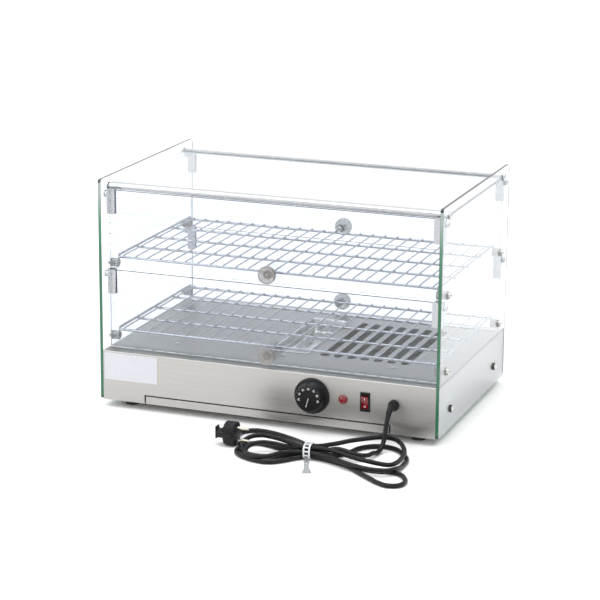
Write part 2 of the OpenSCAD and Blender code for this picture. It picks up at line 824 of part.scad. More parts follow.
// A drum with two flats, a chamfered back, a stem with a finger flange, and the cord's boss
module plug_body() color("black") {
    translate([plug_x, plug_y, plug_d / 2]) difference() {
        union() {
            intersection() {
                rod_x(-plug_l / 2, plug_l, plug_d);
                translate([-plug_l / 2 - 1, -plug_flat / 2, -plug_d])
                    cube([plug_l + 2, plug_flat, 2 * plug_d]);
                rotate([0, 90, 0]) translate([0, 0, -plug_l / 2])
                    cylinder(h = plug_l, d1 = plug_d - 16, d2 = plug_d - 16 + 4 * plug_l);
            }
            rod_x(-plug_l / 2 - 10, 11, 13);
            translate([-plug_l / 2 - 12, -6, -9.5]) cube([3, 12, 19]);
            translate([-plug_l / 2 - 8, -plug_flat / 2 - 1.5, -4.2]) cube([plug_l + 5, 8, 8.4]);
            translate([0, 0, plug_boss_z - plug_d / 2]) rod_y(0, plug_boss, 13);
        }
        for (z = [-9.5, 9.5]) translate([0, 0, z]) rod_x(plug_l / 2 - 6, 10, 4.9);
        translate([0, 0, plug_boss_z - plug_d / 2]) rod_y(plug_boss - 3, 10, cord_d + 0.4);
    }
}

module plug_pins() color("silver") {
    for (z = [-9.5, 9.5]) translate([plug_x, plug_y, plug_d / 2 + z])
        rod_x(plug_l / 2 - 6, 25, 4.8);
}

placed() base_cover();
placed() side_plates();
placed() bottom_plate();
placed() feet();
placed() foot_screws();
placed() bottom_screws();
placed() deck_screws();
placed() glass_side_left();
placed() glass_side_right();
placed() glass_screws();
placed() glass_washers();
placed() glass_top();
placed() rail_front();
placed() rail_back();
placed() rail_screws();
placed() rack_upper();
placed() rack_lower();
placed() rack_studs();
placed() stud_bolts();
placed() hinge_bushes();
placed() door_front_upper();
placed() clips_front_upper();
placed() pins_front_upper();
placed() knob_front_upper();
placed() bolt_front_upper();
placed() door_front_lower();
placed() clips_front_lower();
placed() pins_front_lower();
placed() knob_front_lower();
placed() bolt_front_lower();
placed() door_back_upper();
placed() clips_back_upper();
placed() pins_back_upper();
placed() knob_back_upper();
placed() bolt_back_upper();
placed() door_back_lower();
placed() clips_back_lower();
placed() pins_back_lower();
placed() knob_back_lower();
placed() bolt_back_lower();
placed() water_pan();
placed() heater_tray();
placed() heating_element();
placed() element_clamps();
placed() thermostat_knob();
placed() thermostat_shaft();
placed() thermostat_body();
placed() thermostat_bulb();
placed() pilot_lamp();
placed() switch_housing();
placed() switch_rocker();
placed() terminal_block();
placed() label_plate();
placed() cable_gland();
placed() power_cord();
placed() cord_hank();
placed() cable_tie();
placed() plug_body();
placed() plug_pins();
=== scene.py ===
# %% [markdown]
# # A counter-top warming case for hot food
# The case is a folded steel base with a heater, five panes of glass held by two rails, four
# flap doors that turn on pins in their upper corners, and two chromed wire racks.
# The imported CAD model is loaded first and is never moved: it is the frame that every piece
# below is built on. Lengths are in metres, +Z is up, and the operator's side faces -Y.

# %% Load the frame
import math

import bmesh
import bpy
from mathutils import Matrix, Vector


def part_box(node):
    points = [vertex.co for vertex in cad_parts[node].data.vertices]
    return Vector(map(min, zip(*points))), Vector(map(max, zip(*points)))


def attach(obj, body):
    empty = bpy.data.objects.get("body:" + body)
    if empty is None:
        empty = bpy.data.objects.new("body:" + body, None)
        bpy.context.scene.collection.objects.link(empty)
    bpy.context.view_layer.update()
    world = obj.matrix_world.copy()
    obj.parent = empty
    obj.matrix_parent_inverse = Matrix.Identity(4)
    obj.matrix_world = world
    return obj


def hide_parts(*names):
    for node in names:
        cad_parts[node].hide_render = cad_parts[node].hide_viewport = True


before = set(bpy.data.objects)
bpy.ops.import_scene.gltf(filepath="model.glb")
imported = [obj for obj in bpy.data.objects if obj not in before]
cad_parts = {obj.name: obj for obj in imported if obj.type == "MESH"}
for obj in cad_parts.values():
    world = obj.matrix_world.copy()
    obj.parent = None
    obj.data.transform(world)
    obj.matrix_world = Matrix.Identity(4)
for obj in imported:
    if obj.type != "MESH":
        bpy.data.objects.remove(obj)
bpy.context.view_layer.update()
MM = 0.001

# %% [markdown]
# ## Camera
# A long lens from a little above and to the right flattens the perspective, as a catalogue
# picture does. The camera's axes are written as the columns of its matrix, so that no
# rotation has to be guessed.

# %% Camera
CAMERA_AT = Vector((1.1948, -3.23915, 1.0852))
AZIMUTH, ELEVATION, ROLL = (math.radians(a) for a in (20.375, 15.045, 0.451))


def camera_axes():
    """The directions to the right of the picture, up it, and back to the camera."""
    back = Vector((math.sin(AZIMUTH) * math.cos(ELEVATION),
                   -math.cos(AZIMUTH) * math.cos(ELEVATION), math.sin(ELEVATION)))
    right = (-back).cross(Vector((0, 0, 1))).normalized()
    up = right.cross(-back)
    turned_right = math.cos(ROLL) * right + math.sin(ROLL) * up
    turned_up = -math.sin(ROLL) * right + math.cos(ROLL) * up
    return turned_right, turned_up, back


def add_camera():
    data = bpy.data.cameras.new("camera")
    data.lens, data.sensor_width, data.clip_end = 135.4, 36, 50
    camera = bpy.data.objects.new("camera", data)
    camera.matrix_world = (Matrix.Translation(CAMERA_AT)
                           @ Matrix(camera_axes()).transposed().to_4x4())
    bpy.context.scene.collection.objects.link(camera)
    bpy.context.scene.camera = camera
    return camera


print("camera at", add_camera().location[:])

# %% [markdown]
# ## Colours and nodes
# Colours are written as sRGB hex values, as a paint chart gives them, and Blender wants them
# linear, so one function converts them. One more function adds a shader node with its
# settings and its links, and every material below is made with those two.

# %% Colour and node helpers


def colour(text):
    """An sRGB hex value as a linear RGBA colour."""
    parts = [int(text[i:i + 2], 16) / 255 for i in (1, 3, 5)]
    return [p / 12.92 if p <= 0.04045 else ((p + 0.055) / 1.055) ** 2.4 for p in parts] + [1]


def add_node(material, kind, settings=(), **inputs):
    """A node of that kind. inputs are values or another node's sockets, by socket name."""
    node = material.node_tree.nodes.new(kind)
    for key, value in dict(settings).items():
        setattr(node, key, value)
    for key, value in inputs.items():
        wanted = key.replace("_", " ").lower()
        socket = next(s for s in node.inputs if s.name.lower() == wanted and s.enabled)
        if isinstance(value, bpy.types.NodeSocket):
            material.node_tree.links.new(value, socket)
        else:
            socket.default_value = value
    return node


def new_material(name):
    """An empty node material and its output node."""
    material = bpy.data.materials.new(name)
    material.use_nodes = True
    material.node_tree.nodes.clear()
    return material, add_node(material, "ShaderNodeOutputMaterial")


def finish_material(material, output, shader):
    material.node_tree.links.new(shader.outputs[0], output.inputs["Surface"])
    return material


def ramp(material, fac, *stops):
    """A colour ramp node. stops are (position, hex colour)."""
    node = add_node(material, "ShaderNodeValToRGB", Fac=fac)
    elements = node.color_ramp.elements
    while len(elements) < len(stops):
        elements.new(0.5)
    for element, (position, text) in zip(elements, stops):
        element.position, element.color = position, colour(text)
    return node.outputs["Color"]


def grain(material, stretch, detail=2.0):
    """Noise in the object's own coordinates; stretch is cells per metre along X, Y and Z."""
    place = add_node(material, "ShaderNodeTexCoord")
    scaled = add_node(material, "ShaderNodeMapping",
                      Vector=place.outputs["Object"], Scale=stretch)
    noise = add_node(material, "ShaderNodeTexNoise", Vector=scaled.outputs["Vector"],
                     Scale=1.0, Detail=detail, Roughness=0.55)
    return noise.outputs["Fac"]


def span(material, fac, low, high):
    """fac, which is from 0 to 1, spread between low and high."""
    node = add_node(material, "ShaderNodeMapRange", Value=fac, From_Min=0.25, From_Max=0.75,
                    To_Min=low, To_Max=high)
    return node.outputs["Result"]


def bump(material, height, distance, strength=1.0):
    """A bump of that real height in metres."""
    node = add_node(material, "ShaderNodeBump", Height=height, Distance=distance,
                    Strength=strength)
    return node.outputs["Normal"]


# %% [markdown]
# ## Black moulded plastics and cord rubber
# The mains lead's sheath is soft PVC: black, dull, with a faint sheen and a slightly uneven
# skin from the extruder. The dial, the gland, the switch's frame and the plug are harder
# moulded plastics with a fine spark-eroded texture of about 0.3 mm, which is drawn here at
# 0.6 mm so that it can show. The specular level is half the usual one, because the sky here
# is evenly white and would otherwise turn every black part grey.

# %% Cord and plastic materials


def noisy_finish(name, cells, octaves, dark, light, smooth, rough, relief=0,
                 stops=(0.3, 0.7), **more):
    """A finish whose colour and roughness both follow one fine noise, cells to the metre."""
    material, output = new_material(name)
    texture = grain(material, (cells, cells, cells), octaves)
    if relief:
        more["Normal"] = bump(material, texture, relief)
    shader = add_node(material, "ShaderNodeBsdfPrincipled",
                      Base_Color=ramp(material, texture, (stops[0], dark), (stops[1], light)),
                      Roughness=span(material, texture, smooth, rough), **more)
    return finish_material(material, output, shader)


def black_plastic(name, dark, light, rough):
    """Moulded phenolic or nylon: IOR 1.5, fine eroded texture that dulls the shine."""
    material, output = new_material(name)
    texture = grain(material, (1600, 1600, 1600), 2)
    wide = grain(material, (60, 60, 60), 3)
    shader = add_node(material, "ShaderNodeBsdfPrincipled",
                      Base_Color=ramp(material, wide, (0.3, dark), (0.75, light)),
                      Roughness=span(material, texture, rough - 0.07, rough + 0.07), IOR=1.5,
                      Specular_IOR_Level=0.25,
                      Normal=bump(material, texture, 0.00004))
    return finish_material(material, output, shader)


# PVC sheath: a uniform black, with a slightly uneven skin
CORD = noisy_finish("pvc_cord_sheath", 700, 3, "#09090B", "#111114", 0.32, 0.44, 0.00006, IOR=1.5,
                    Specular_IOR_Level=0.25)
BAKELITE = black_plastic("phenolic_dial", "#08080A", "#0E0E10", 0.32)
NYLON_BLACK = black_plastic("black_nylon", "#0A0A0C", "#121214", 0.4)
PLUG_PVC = black_plastic("pvc_plug_body", "#0B0B0D", "#141417", 0.42)
print("materials:", [m.name for m in bpy.data.materials])

# %% [markdown]
# ## Building helpers
# Small turned parts, such as knobs, screws and the gland, are lathed from a profile. Folded
# and moulded ones are boxes or outlines whose edges are rounded by a real bevel, because no
# edge on a real part is perfectly sharp and the bevel is what catches the light.

# %% Mesh helpers


def turned(bm, profile, centre, axis, steps=48, flutes=0, flute_depth=0.0):
    """Lathes (radius, distance along axis) pairs round axis into bm. Closed at radius 0."""
    axis = Vector(axis).normalized()
    side = axis.orthogonal().normalized()
    other = axis.cross(side)
    centre, rings = Vector(centre), []
    for radius, along in profile:
        if radius < 1e-7:
            rings.append([bm.verts.new(centre + axis * along)])
            continue
        ring = []
        for k in range(steps):
            turn = 2 * math.pi * k / steps
            r = radius - flute_depth * (0.5 - 0.5 * math.cos(flutes * turn)) if flutes else radius
            ring.append(bm.verts.new(centre + axis * along
                                     + r * (math.cos(turn) * side + math.sin(turn) * other)))
        rings.append(ring)
    for one, two in zip(rings, rings[1:]):
        for k in range(steps):
            n = (k + 1) % steps
            corners = ([one[0]] if len(one) == 1 else [one[k], one[n]]) + (
                [two[0]] if len(two) == 1 else [two[n], two[k]])
            if len(corners) > 2:
                bm.faces.new(corners)
    return [v for ring in rings for v in ring]


def rounded_block(bm, low, high, radius, segments=2):
    """A box between two corners with every edge rounded."""
    low, high = Vector(low), Vector(high)
    made = bmesh.ops.create_cube(bm, size=1.0)["verts"]
    for v in made:
        v.co = Vector(low[k] + (v.co[k] + 0.5) * (high[k] - low[k]) for k in range(3))
    if radius:
        edges = list({e for v in made for e in v.link_edges})
        bmesh.ops.bevel(bm, geom=edges, offset=radius, segments=segments, profile=0.5,
                        affect="EDGES")


def extruded(bm, outline, axis, start, end, radius=0.0, segments=2):
    """A prism from an outline of 2-D points. axis is 0, 1 or 2; the outline's two numbers are
    the other two coordinates in order. Its end edges are rounded by radius."""
    others = [k for k in range(3) if k != axis]

    def place(pair, along):
        point = [0.0, 0.0, 0.0]
        point[axis], point[others[0]], point[others[1]] = along, pair[0], pair[1]
        return bm.verts.new(point)

    first = [place(pair, start) for pair in outline]
    second = [place(pair, end) for pair in outline]
    count = len(outline)
    caps = [bm.faces.new(first), bm.faces.new(second[::-1])]
    for k in range(count):
        n = (k + 1) % count
        bm.faces.new((first[n], first[k], second[k], second[n]))
    if radius:
        bmesh.ops.bevel(bm, geom=[e for f in caps for e in f.edges], offset=radius,
                        segments=segments, profile=0.5, affect="EDGES")


def arc(centre, radius, start, end, steps):
    """Points on an arc in degrees."""
    return [(centre[0] + radius * math.cos(math.radians(start + (end - start) * k / steps)),
             centre[1] + radius * math.sin(math.radians(start + (end - start) * k / steps)))
            for k in range(steps + 1)]


def round_outline(width, height, radius, centre=(0, 0), steps=6):
    """A rectangle with round corners as 2-D points."""
    x, y = width / 2 - radius, height / 2 - radius
    points = []
    for sx, sy, start in ((1, 1, 0), (-1, 1, 90), (-1, -1, 180), (1, -1, 270)):
        points += arc((centre[0] + sx * x, centre[1] + sy * y), radius, start, start + 90, steps)
    return points


def piece(name, bm, material, body, replaced=(), sharp=32):
    """An object of bm with one material, riding on a body, with the parts it replaces hidden."""
    bmesh.ops.remove_doubles(bm, verts=bm.verts, dist=1e-7)
    bmesh.ops.recalc_face_normals(bm, faces=bm.faces)
    mesh = bpy.data.meshes.new(name)
    bm.to_mesh(mesh)
    bm.free()
    mesh.polygons.foreach_set("use_smooth", [True] * len(mesh.polygons))
    mesh.set_sharp_from_angle(angle=math.radians(sharp))
    mesh.materials.append(material)
    obj = bpy.data.objects.new(name, mesh)
    bpy.context.scene.collection.objects.link(obj)
    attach(obj, body)
    if replaced:
        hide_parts(*replaced)
    print(name, len(mesh.vertices), "vertices")
    return obj


def corners(node):
    """The low and high corners of a CAD node's box."""
    return [Vector(c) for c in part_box(node)]


def middle(node):
    low, high = corners(node)
    return (low + high) / 2


def size(node):
    low, high = corners(node)
    return high - low


def mm(*points):
    """Points written in millimetres, as tuples in metres."""
    return [tuple(value * MM for value in point) for point in points]


# %% [markdown]
# ## The gland
# The lead leaves the base through a nylon gland: a flange against the steel, a domed nut with
# sixteen flutes for the fingers, and a short mouth. A soft sleeve grows out of the mouth and
# tapers down to the lead, so that the lead bends without kinking. The nut is lathed with its
# flutes in the outline, so they are real and not painted.

# %% Gland and sleeve
gland_low = Vector(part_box("cable_gland")[0])
exit_y = gland_low.y
LEAD_Z = middle("cable_gland").z
LEAD_X = middle("cable_gland").x
front_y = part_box("base_cover")[0][1]
sleeve_out = front_y - exit_y
CORD_D = 7 * MM
BORE_R = CORD_D / 2 + 0.15 * MM


bm = bmesh.new()
gland_at = (LEAD_X, front_y, LEAD_Z)
turned(bm, mm((8.4, 0), (8.75, 0.4), (8.75, 2.2), (8.0, 2.9)),
       gland_at, (0, -1, 0), 96)
turned(bm, mm((8.0, 2.9), (8.5, 3.4), (8.3, 5.2), (7.5, 7.4), (6.4, 9.2), (5.1, 10.0)),
       gland_at, (0, -1, 0), 96, 16, 0.9 * MM)
turned(bm, [(5.1 * MM, 9.9 * MM), (4.95 * MM, 10.6 * MM), (4.9 * MM, sleeve_out - 0.5 * MM),
            (4.5 * MM, sleeve_out), (BORE_R, sleeve_out), (BORE_R, sleeve_out - 4.8 * MM),
            (0, sleeve_out - 4.8 * MM)], gland_at, (0, -1, 0), 40)
turned(bm, mm((0, 0), (6, 0), (6, 1.3), (9.6, 1.3), (10.2, 1.9), (10.2, 4.6), (9.6, 5.2),
              (6, 5.2), (5.6, 10), (0, 10)), gland_at, (0, 1, 0), 6)
gland = piece("gland_nut", bm, NYLON_BLACK, "case", ["cable_gland"])

# %% [markdown]
# ## The mains lead
# The lead drops from the gland to the counter, is wound to and fro into a flat hank of three
# turns that a strap holds by the waist, and ends in its plug. It lies under its own weight,
# each turn on the ones under it, so its route is a list of points about 17 mm apart along the
# sheath's centre. A Bezier spline with automatic handles makes one smooth curve of them, and
# the curve's bevel gives the round sheath.

# %% Mains lead
MID_Y = 8.75  # how far the frame's middle is from the case's middle, in millimetres
LOWEST = 3.85  # the height of the centre of a run that lies on the counter, in millimetres
LEAD_ROUTE = [
    (206.6, -190.5, 57.5), (206.6, -197.4, 57.2), (206.5, -203.1, 52.7), (206.6, -207.9, 47.6),
    (206.7, -212, 41.9), (206.8, -216.1, 35.1), (206.9, -220.7, 26.2), (206.5, -229.8, 12),
    (204.7, -244.4, 4.4), (201.6, -260.8, 7), (197.6, -277.1, 8.4), (184.4, -286.5, 10.9),
    (168.1, -283.6, 13.4), (151.7, -279.6, 13.4), (135.5, -282.3, 10.1), (120.3, -289.5, 11.5),
    (103.7, -289.3, 10.5), (86.9, -288.7, 10.2), (70.1, -289.3, 11.8), (53.2, -289.6, 13.3),
    (37.3, -294.9, 14.1), (27.3, -308.1, 13.2), (26, -324.7, 11.4), (33.6, -339.4, 10.1),
    (49.2, -344.5, 10), (64.4, -337.7, 9.7), (75.7, -325.1, 10.6), (86.4, -312.1, 10.7),
    (102, -306, 11.1), (118.8, -305.1, 12), (135.6, -306.6, 10.8), (151.9, -311.1, 10.8),
    (166.9, -319, 10.8), (182.2, -326.4, 10.5), (198, -332.2, 10.2), (214.5, -336, 9.8),
    (231.4, -336.4, 9.5), (247.2, -330.7, 8.9), (255.3, -316.3, 8), (256.5, -299.9, 4.5),
    (256.6, -283, 3.5), (255.5, -266.1, 3.5), (249, -250.5, 3.5), (239.1, -236.7, 3.5),
    (227.6, -224.4, 3.5), (212.4, -217.3, 3.5), (195.7, -218.6, 3.5), (181.3, -227.3, 3.5),
    (171.3, -240.8, 3.9), (166.4, -257, 3.7), (159.2, -272.2, 3.5), (146.6, -283.4, 3.8),
    (132.5, -291, 9), (117.5, -297.8, 11.9), (101.1, -295.6, 9.9), (86.3, -290.6, 3.7),
    (70.9, -283.7, 3.5), (55, -277.8, 3.5), (38.7, -273.1, 3.5), (21.9, -272.4, 3.5),
    (10.8, -284.3, 3.5), (7, -300.8, 3.5), (7.9, -317.2, 3.5), (18.2, -330.5, 3.5),
    (32.8, -339, 3.5), (48.7, -344.8, 3.5), (65.4, -345.7, 3.5), (80.1, -337.7, 3.5),
    (91.3, -324.9, 3.6), (102, -311.9, 4), (115.2, -302, 5.7), (132.1, -302.9, 4.8),
    (148.6, -306.5, 4.3), (164.6, -312, 3.6), (180.1, -318.9, 3.5), (193.8, -328.8, 3.5),
    (206.6, -339.9, 3.5), (219.7, -350.7, 3.5), (232.9, -361.3, 3.5), (246.6, -371.2, 3.5),
    (262.3, -377.2, 3.5), (277.3, -370.8, 3.5), (281.4, -354.8, 3.5), (275.8, -339.1, 3.5),
    (265, -326.1, 3.5), (249.5, -320.1, 3.5), (232.8, -322.8, 3.5), (216, -323.5, 3.5),
    (199.6, -319.4, 3.5), (184, -312.8, 3.5), (168.7, -305.5, 3.5), (153, -299.1, 4.1),
    (136.4, -295.8, 4.6), (119.7, -294.5, 5.3), (103.3, -297, 3.9), (88.4, -304.9, 3.5),
    (74, -313.8, 3.5), (59.2, -322, 3.5), (42.7, -325.2, 3.5), (26.5, -320.5, 3.5),
    (13.1, -310.8, 6.1), (5.3, -296, 7), (2.9, -279.4, 5.9), (8.5, -264.4, 9.5),
    (23.9, -259.7, 12.6), (40.1, -264.2, 14.1), (55, -272.1, 15.6), (69.8, -280.4, 16.5),
    (84.3, -289.1, 17.1), (98.8, -297.7, 16.7), (115.1, -301.7, 18.1), (131.5, -298, 17.3),
    (148.3, -297.9, 16.9), (164.5, -302.8, 16.4), (180.1, -309.3, 15.8), (195.9, -315.5, 15.8),
    (212.4, -319.5, 15.4), (229.1, -319.4, 13.7), (243.9, -312.1, 11.1), (249.7, -296.5, 10.2),
    (250.6, -279.6, 9.9), (249.5, -262.7, 10.2), (245.5, -246.3, 10.8), (238.6, -230.9, 11.9),
    (228.7, -217.3, 13.7), (214, -210, 16), (197.9, -214.2, 16.8), (184.2, -224.1, 16.7),
    (171.7, -235.5, 16.8), (160.2, -247.9, 16.9), (149.9, -261.4, 16.7), (139, -274.4, 16.9),
    (127.6, -286.9, 17.4), (112.2, -291.8, 17.6), (100.7, -280.6, 14.5), (93.8, -265.7, 10.7),
    (82.9, -253, 8.1), (70.8, -241.3, 5.9), (57.5, -231, 4.2), (42.3, -223.5, 3.5),
    (26.3, -218, 3.5), (9.6, -215.3, 3.5), (-6.8, -218.9, 3.5), (-17.7, -231.1, 3.6),
    (-18.2, -239.9, 5), (-16.5, -246.8, 8.5), (-15.2, -252.5, 11.4), (-15, -258.8, 12),]


def spline_piece(name, points, diameter, material):
    """A curve object of one smooth open spline through the points."""
    data = bpy.data.curves.new(name, "CURVE")
    data.dimensions, data.resolution_u = "3D", 5
    data.bevel_depth, data.bevel_resolution, data.use_fill_caps = diameter / 2, 5, True
    spline = data.splines.new("BEZIER")
    spline.bezier_points.add(len(points) - 1)
    for knot, point in zip(spline.bezier_points, points):
        knot.co = point
        knot.handle_left_type = knot.handle_right_type = "AUTO"
    data.materials.append(material)
    obj = bpy.data.objects.new(name, data)
    bpy.context.scene.collection.objects.link(obj)
    return obj


lead_points = [Vector((x, y + MID_Y, max(z, LOWEST))) * MM for x, y, z in LEAD_ROUTE]
lead = spline_piece("mains_lead", lead_points, CORD_D, CORD)
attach(lead, "case")
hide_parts("power_cord", "cord_hank")


def taper(name, points, shares):
    """A soft sleeve on the lead: 10 mm wide times a share at each point."""
    sleeve = spline_piece(name, points, 10 * MM, NYLON_BLACK)
    for knot, share in zip(sleeve.data.splines[0].bezier_points, shares):
        knot.radius = share
    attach(sleeve, "case")
    return sleeve


gland_taper = taper("gland_taper", lead_points[:4], (0.98, 0.95, 0.86, 0.74))

# %% [markdown]
# ## Strap round the hank
# A nylon strap with a ladder of slots is wrapped round the runs of the lead, and its clear
# free end lies on the counter. Two rails are swept along a rounded outline with rungs between
# them, so the slots are open and the black lead shows through.

# %% Strap
tie_low, tie_high = corners("cable_tie")
TIE_X = middle("cable_tie").x


def clear_plastic(name, dark, light):
    """Moulded acrylic or nylon, IOR 1.49, faintly grey and slightly hazy."""
    return noisy_finish(name, 120, 2, dark, light, 0.16, 0.3, IOR=1.49, Transmission_Weight=0.75)


# Natural nylon 6.6: milky, and it lets some light through
NYLON = noisy_finish("natural_nylon", 90, 3, "#BFC2C4", "#D3D6D7", 0.3, 0.4, 0.0001, IOR=1.53,
                     Subsurface_Weight=0.3, Subsurface_Radius=(0.002, 0.002, 0.002))
CLEAR_NYLON = clear_plastic("thin_clear_nylon", "#D5D8DA", "#E4E7E9")


def walk(points, along):
    """The place and the outward direction at a distance along a closed outline."""
    count, k = len(points), 0
    while True:
        a, b = Vector(points[k % count]), Vector(points[(k + 1) % count])
        step = (b - a).length
        if along <= step or k > 4 * count:
            way = (b - a).normalized()
            return a + way * along, Vector((way.y, -way.x))
        along, k = along - step, k + 1


def band_part(bm, outline, start, end, x0, x1, thick, step=1.2 * MM):
    """A stretch of strap along an outline in the YZ plane, from x0 to x1, thick inwards."""
    count = max(2, int((end - start) / step) + 1)
    rows = []
    for k in range(count):
        place, out = walk(outline, start + (end - start) * k / (count - 1))
        inner = place - out * thick
        rows.append([bm.verts.new((x, p[0], p[1]))
                     for x, p in ((x0, place), (x1, place), (x1, inner), (x0, inner))])
    for one, two in zip(rows, rows[1:]):
        for k in range(4):
            n = (k + 1) % 4
            bm.faces.new((one[k], one[n], two[n], two[k]))
    bm.faces.new(rows[0][::-1])
    bm.faces.new(rows[-1])


STRAP_T = 1.5 * MM
tie_y = tie_high.y - 12 * MM
tie_outline = round_outline(24 * MM, tie_high.z - tie_low.z, 9 * MM, (tie_y, 12 * MM), 8)
around = sum((Vector(b) - Vector(a)).length
             for a, b in zip(tie_outline, tie_outline[1:] + tie_outline[:1]))
RUNGS = 13
left_x, right_x = tie_low.x, tie_high.x
bm = bmesh.new()
for x0, x1 in ((left_x, left_x + 2.4 * MM), (right_x - 2.4 * MM, right_x)):
    band_part(bm, tie_outline, 0, around * 0.9999, x0, x1, STRAP_T)
for k in range(RUNGS):
    s = around * (k + 0.5) / RUNGS
    band_part(bm, tie_outline, s, s + 2.2 * MM, left_x + 2.2 * MM, right_x - 2.2 * MM, STRAP_T)
strap = piece("hank_strap", bm, NYLON, "case", ["cable_tie"])
bm = bmesh.new()
tail = [(-4.2, 0), (4.2, 0), (4.0, 12), (3.4, 26), (4.2, 40), (6.6, 52), (6.6, 57), (5.6, 58),
        (-5.6, 58), (-6.6, 57), (-6.6, 52), (-4.2, 40), (-3.4, 26), (-4.0, 12)]
tail_x, tail_y = math.sin(AZIMUTH), -math.cos(AZIMUTH)
extruded(bm, [(TIE_X + (y * tail_x - x * tail_y) * MM,
               tie_y - 10 * MM + (y * tail_y + x * tail_x) * MM) for x, y in tail], 2, 0.1 * MM,
         1.2 * MM, 0.3 * MM, 1)
strap_end = piece("strap_end", bm, CLEAR_NYLON, "case")

# %% [markdown]
# ## The plug
# The plug is one soft moulding: a ribbed drum with chamfered ends, a grip band across its
# side that runs on to a stem and a finger flange, and a boss where the lead goes in. Its two
# pins are nickel-plated brass with domed tips.

# %% Plug
plug_low, plug_high = corners("plug_body")
plug_z = (plug_low.z + plug_high.z) / 2
plug_y = plug_high.y - 27 * MM
drum_right = plug_high.x
drum_left = drum_right - 22 * MM
FLAT = 13 * MM
bm = bmesh.new()
drum = mm((0, 0), (9.8, 0), (10.8, 0.5), (17.6, 3.9), (18.4, 5.2), (18.4, 20.2), (18.0, 20.7),
          (14.4, 21.8), (13.8, 22), (0, 22))
for v in turned(bm, drum, (drum_left, plug_y, plug_z), (1, 0, 0), 160, 40, 0.4 * MM):
    v.co.y = max(plug_y - FLAT, min(plug_y + FLAT, v.co.y))
stem = mm((0, 0), (6, 0), (6.4, 0.6), (6.4, 9), (7.6, 10.6), (9, 12), (0, 12))
turned(bm, stem, (plug_low.x + 0.5 * MM, plug_y, plug_z), (1, 0, 0), 40)
rounded_block(bm, (plug_low.x, plug_y - 6 * MM, plug_z - 9.5 * MM),
              (plug_low.x + 3 * MM, plug_y + 6 * MM, plug_z + 9.5 * MM), 1.1 * MM, 3)
extruded(bm, round_outline(27 * MM, 8.4 * MM, 4.1 * MM, (drum_left + 5.5 * MM, plug_z)), 1,
         plug_low.y + 0.02 * MM, plug_low.y + 7 * MM, 0.7 * MM, 3)
boss_z = plug_z - 6.5 * MM
turned(bm, [(0, -14 * MM), (6.5 * MM, -14 * MM), (6.5 * MM, -2.4 * MM), (6.0 * MM, -0.6 * MM),
            (5.2 * MM, 0), (BORE_R, 0), (BORE_R, -2.6 * MM), (0, -2.6 * MM)],
       (drum_left + 11 * MM, plug_high.y, boss_z), (0, 1, 0), 36)
plug = piece("moulded_plug", bm, PLUG_PVC, "case", ["plug_body"])


def nickel():
    """Nickel plate on brass: warm white metal, roughness about 0.2."""
    material, output = new_material("nickel_plate")
    wear = grain(material, (300, 900, 900), 3)
    shader = add_node(material, "ShaderNodeBsdfPrincipled", Metallic=1.0,
                      Base_Color=ramp(material, wear, (0.3, "#B9B5AA"), (0.7, "#D4D0C4")),
                      Roughness=span(material, wear, 0.16, 0.28))
    return finish_material(material, output, shader)


NICKEL = nickel()
pins_low, pins_high = corners("plug_pins")
pin_r = 2.4 * MM
bm = bmesh.new()
for z in (pins_low.z + pin_r, pins_high.z - pin_r):
    long = pins_high.x - pins_low.x
    dome = [(pin_r * math.cos(math.radians(a)), long - pin_r + pin_r * math.sin(math.radians(a)))
            for a in range(0, 90, 15)]
    turned(bm, [(0, 0), (pin_r, 0)] + dome + [(0, long)],
           (pins_low.x, (pins_low.y + pins_high.y) / 2, z), (1, 0, 0), 24)
pins = piece("plug_pins_domed", bm, NICKEL, "case", ["plug_pins"])

plug_taper = taper("plug_taper", lead_points[-3:][::-1], (0.98, 0.9, 0.74))

# %% [markdown]
# ## Brushed stainless steel
# The base is 304 stainless sheet with a No. 4 brushed finish: fine scratches that all run
# along the sheet's length. Real scratches are 0.05 to 0.2 mm apart. They are drawn about
# 0.7 mm apart here, stretched 150 times along X, so that they show as the soft streaks the
# eye sees. The scratches vary the roughness and give a faint bump, and a wider, softer noise
# is the uneven reflection of a thin sheet that is never quite flat.

# %% Steel materials


def brushed_steel(name, light, dark, along, rough):
    """304 sheet, metallic 1, roughness 0.25 to 0.45 across the grain."""
    material, output = new_material(name)
    across, with_grain = 1400, 9
    stretch = [across] * 3
    stretch[along] = with_grain
    scratches = grain(material, stretch, 3)
    waves = grain(material, (7, 7, 9), 1)
    shade = ramp(material, scratches, (0.28, dark), (0.72, light))
    height = add_node(material, "ShaderNodeBump", Height=scratches, Distance=0.00002,
                      Strength=0.5)
    wavy = add_node(material, "ShaderNodeBump", Height=waves, Distance=0.0009, Strength=0.35,
                    Normal=height.outputs["Normal"])
    shader = add_node(material, "ShaderNodeBsdfPrincipled", Metallic=1.0, Base_Color=shade,
                      Roughness=span(material, scratches, rough - 0.07, rough + 0.09),
                      Anisotropic=0.4, Normal=wavy.outputs["Normal"])
    return finish_material(material, output, shader)


def plain_metal(name, dark, light, rough, cells=400, depth=0.00003):
    """A plated, cast or rolled metal: metallic 1, with a fine uneven surface."""
    return noisy_finish(name, cells, 3, dark, light, max(0.03, rough - 0.06), rough + 0.06, depth,
                        Metallic=1.0)


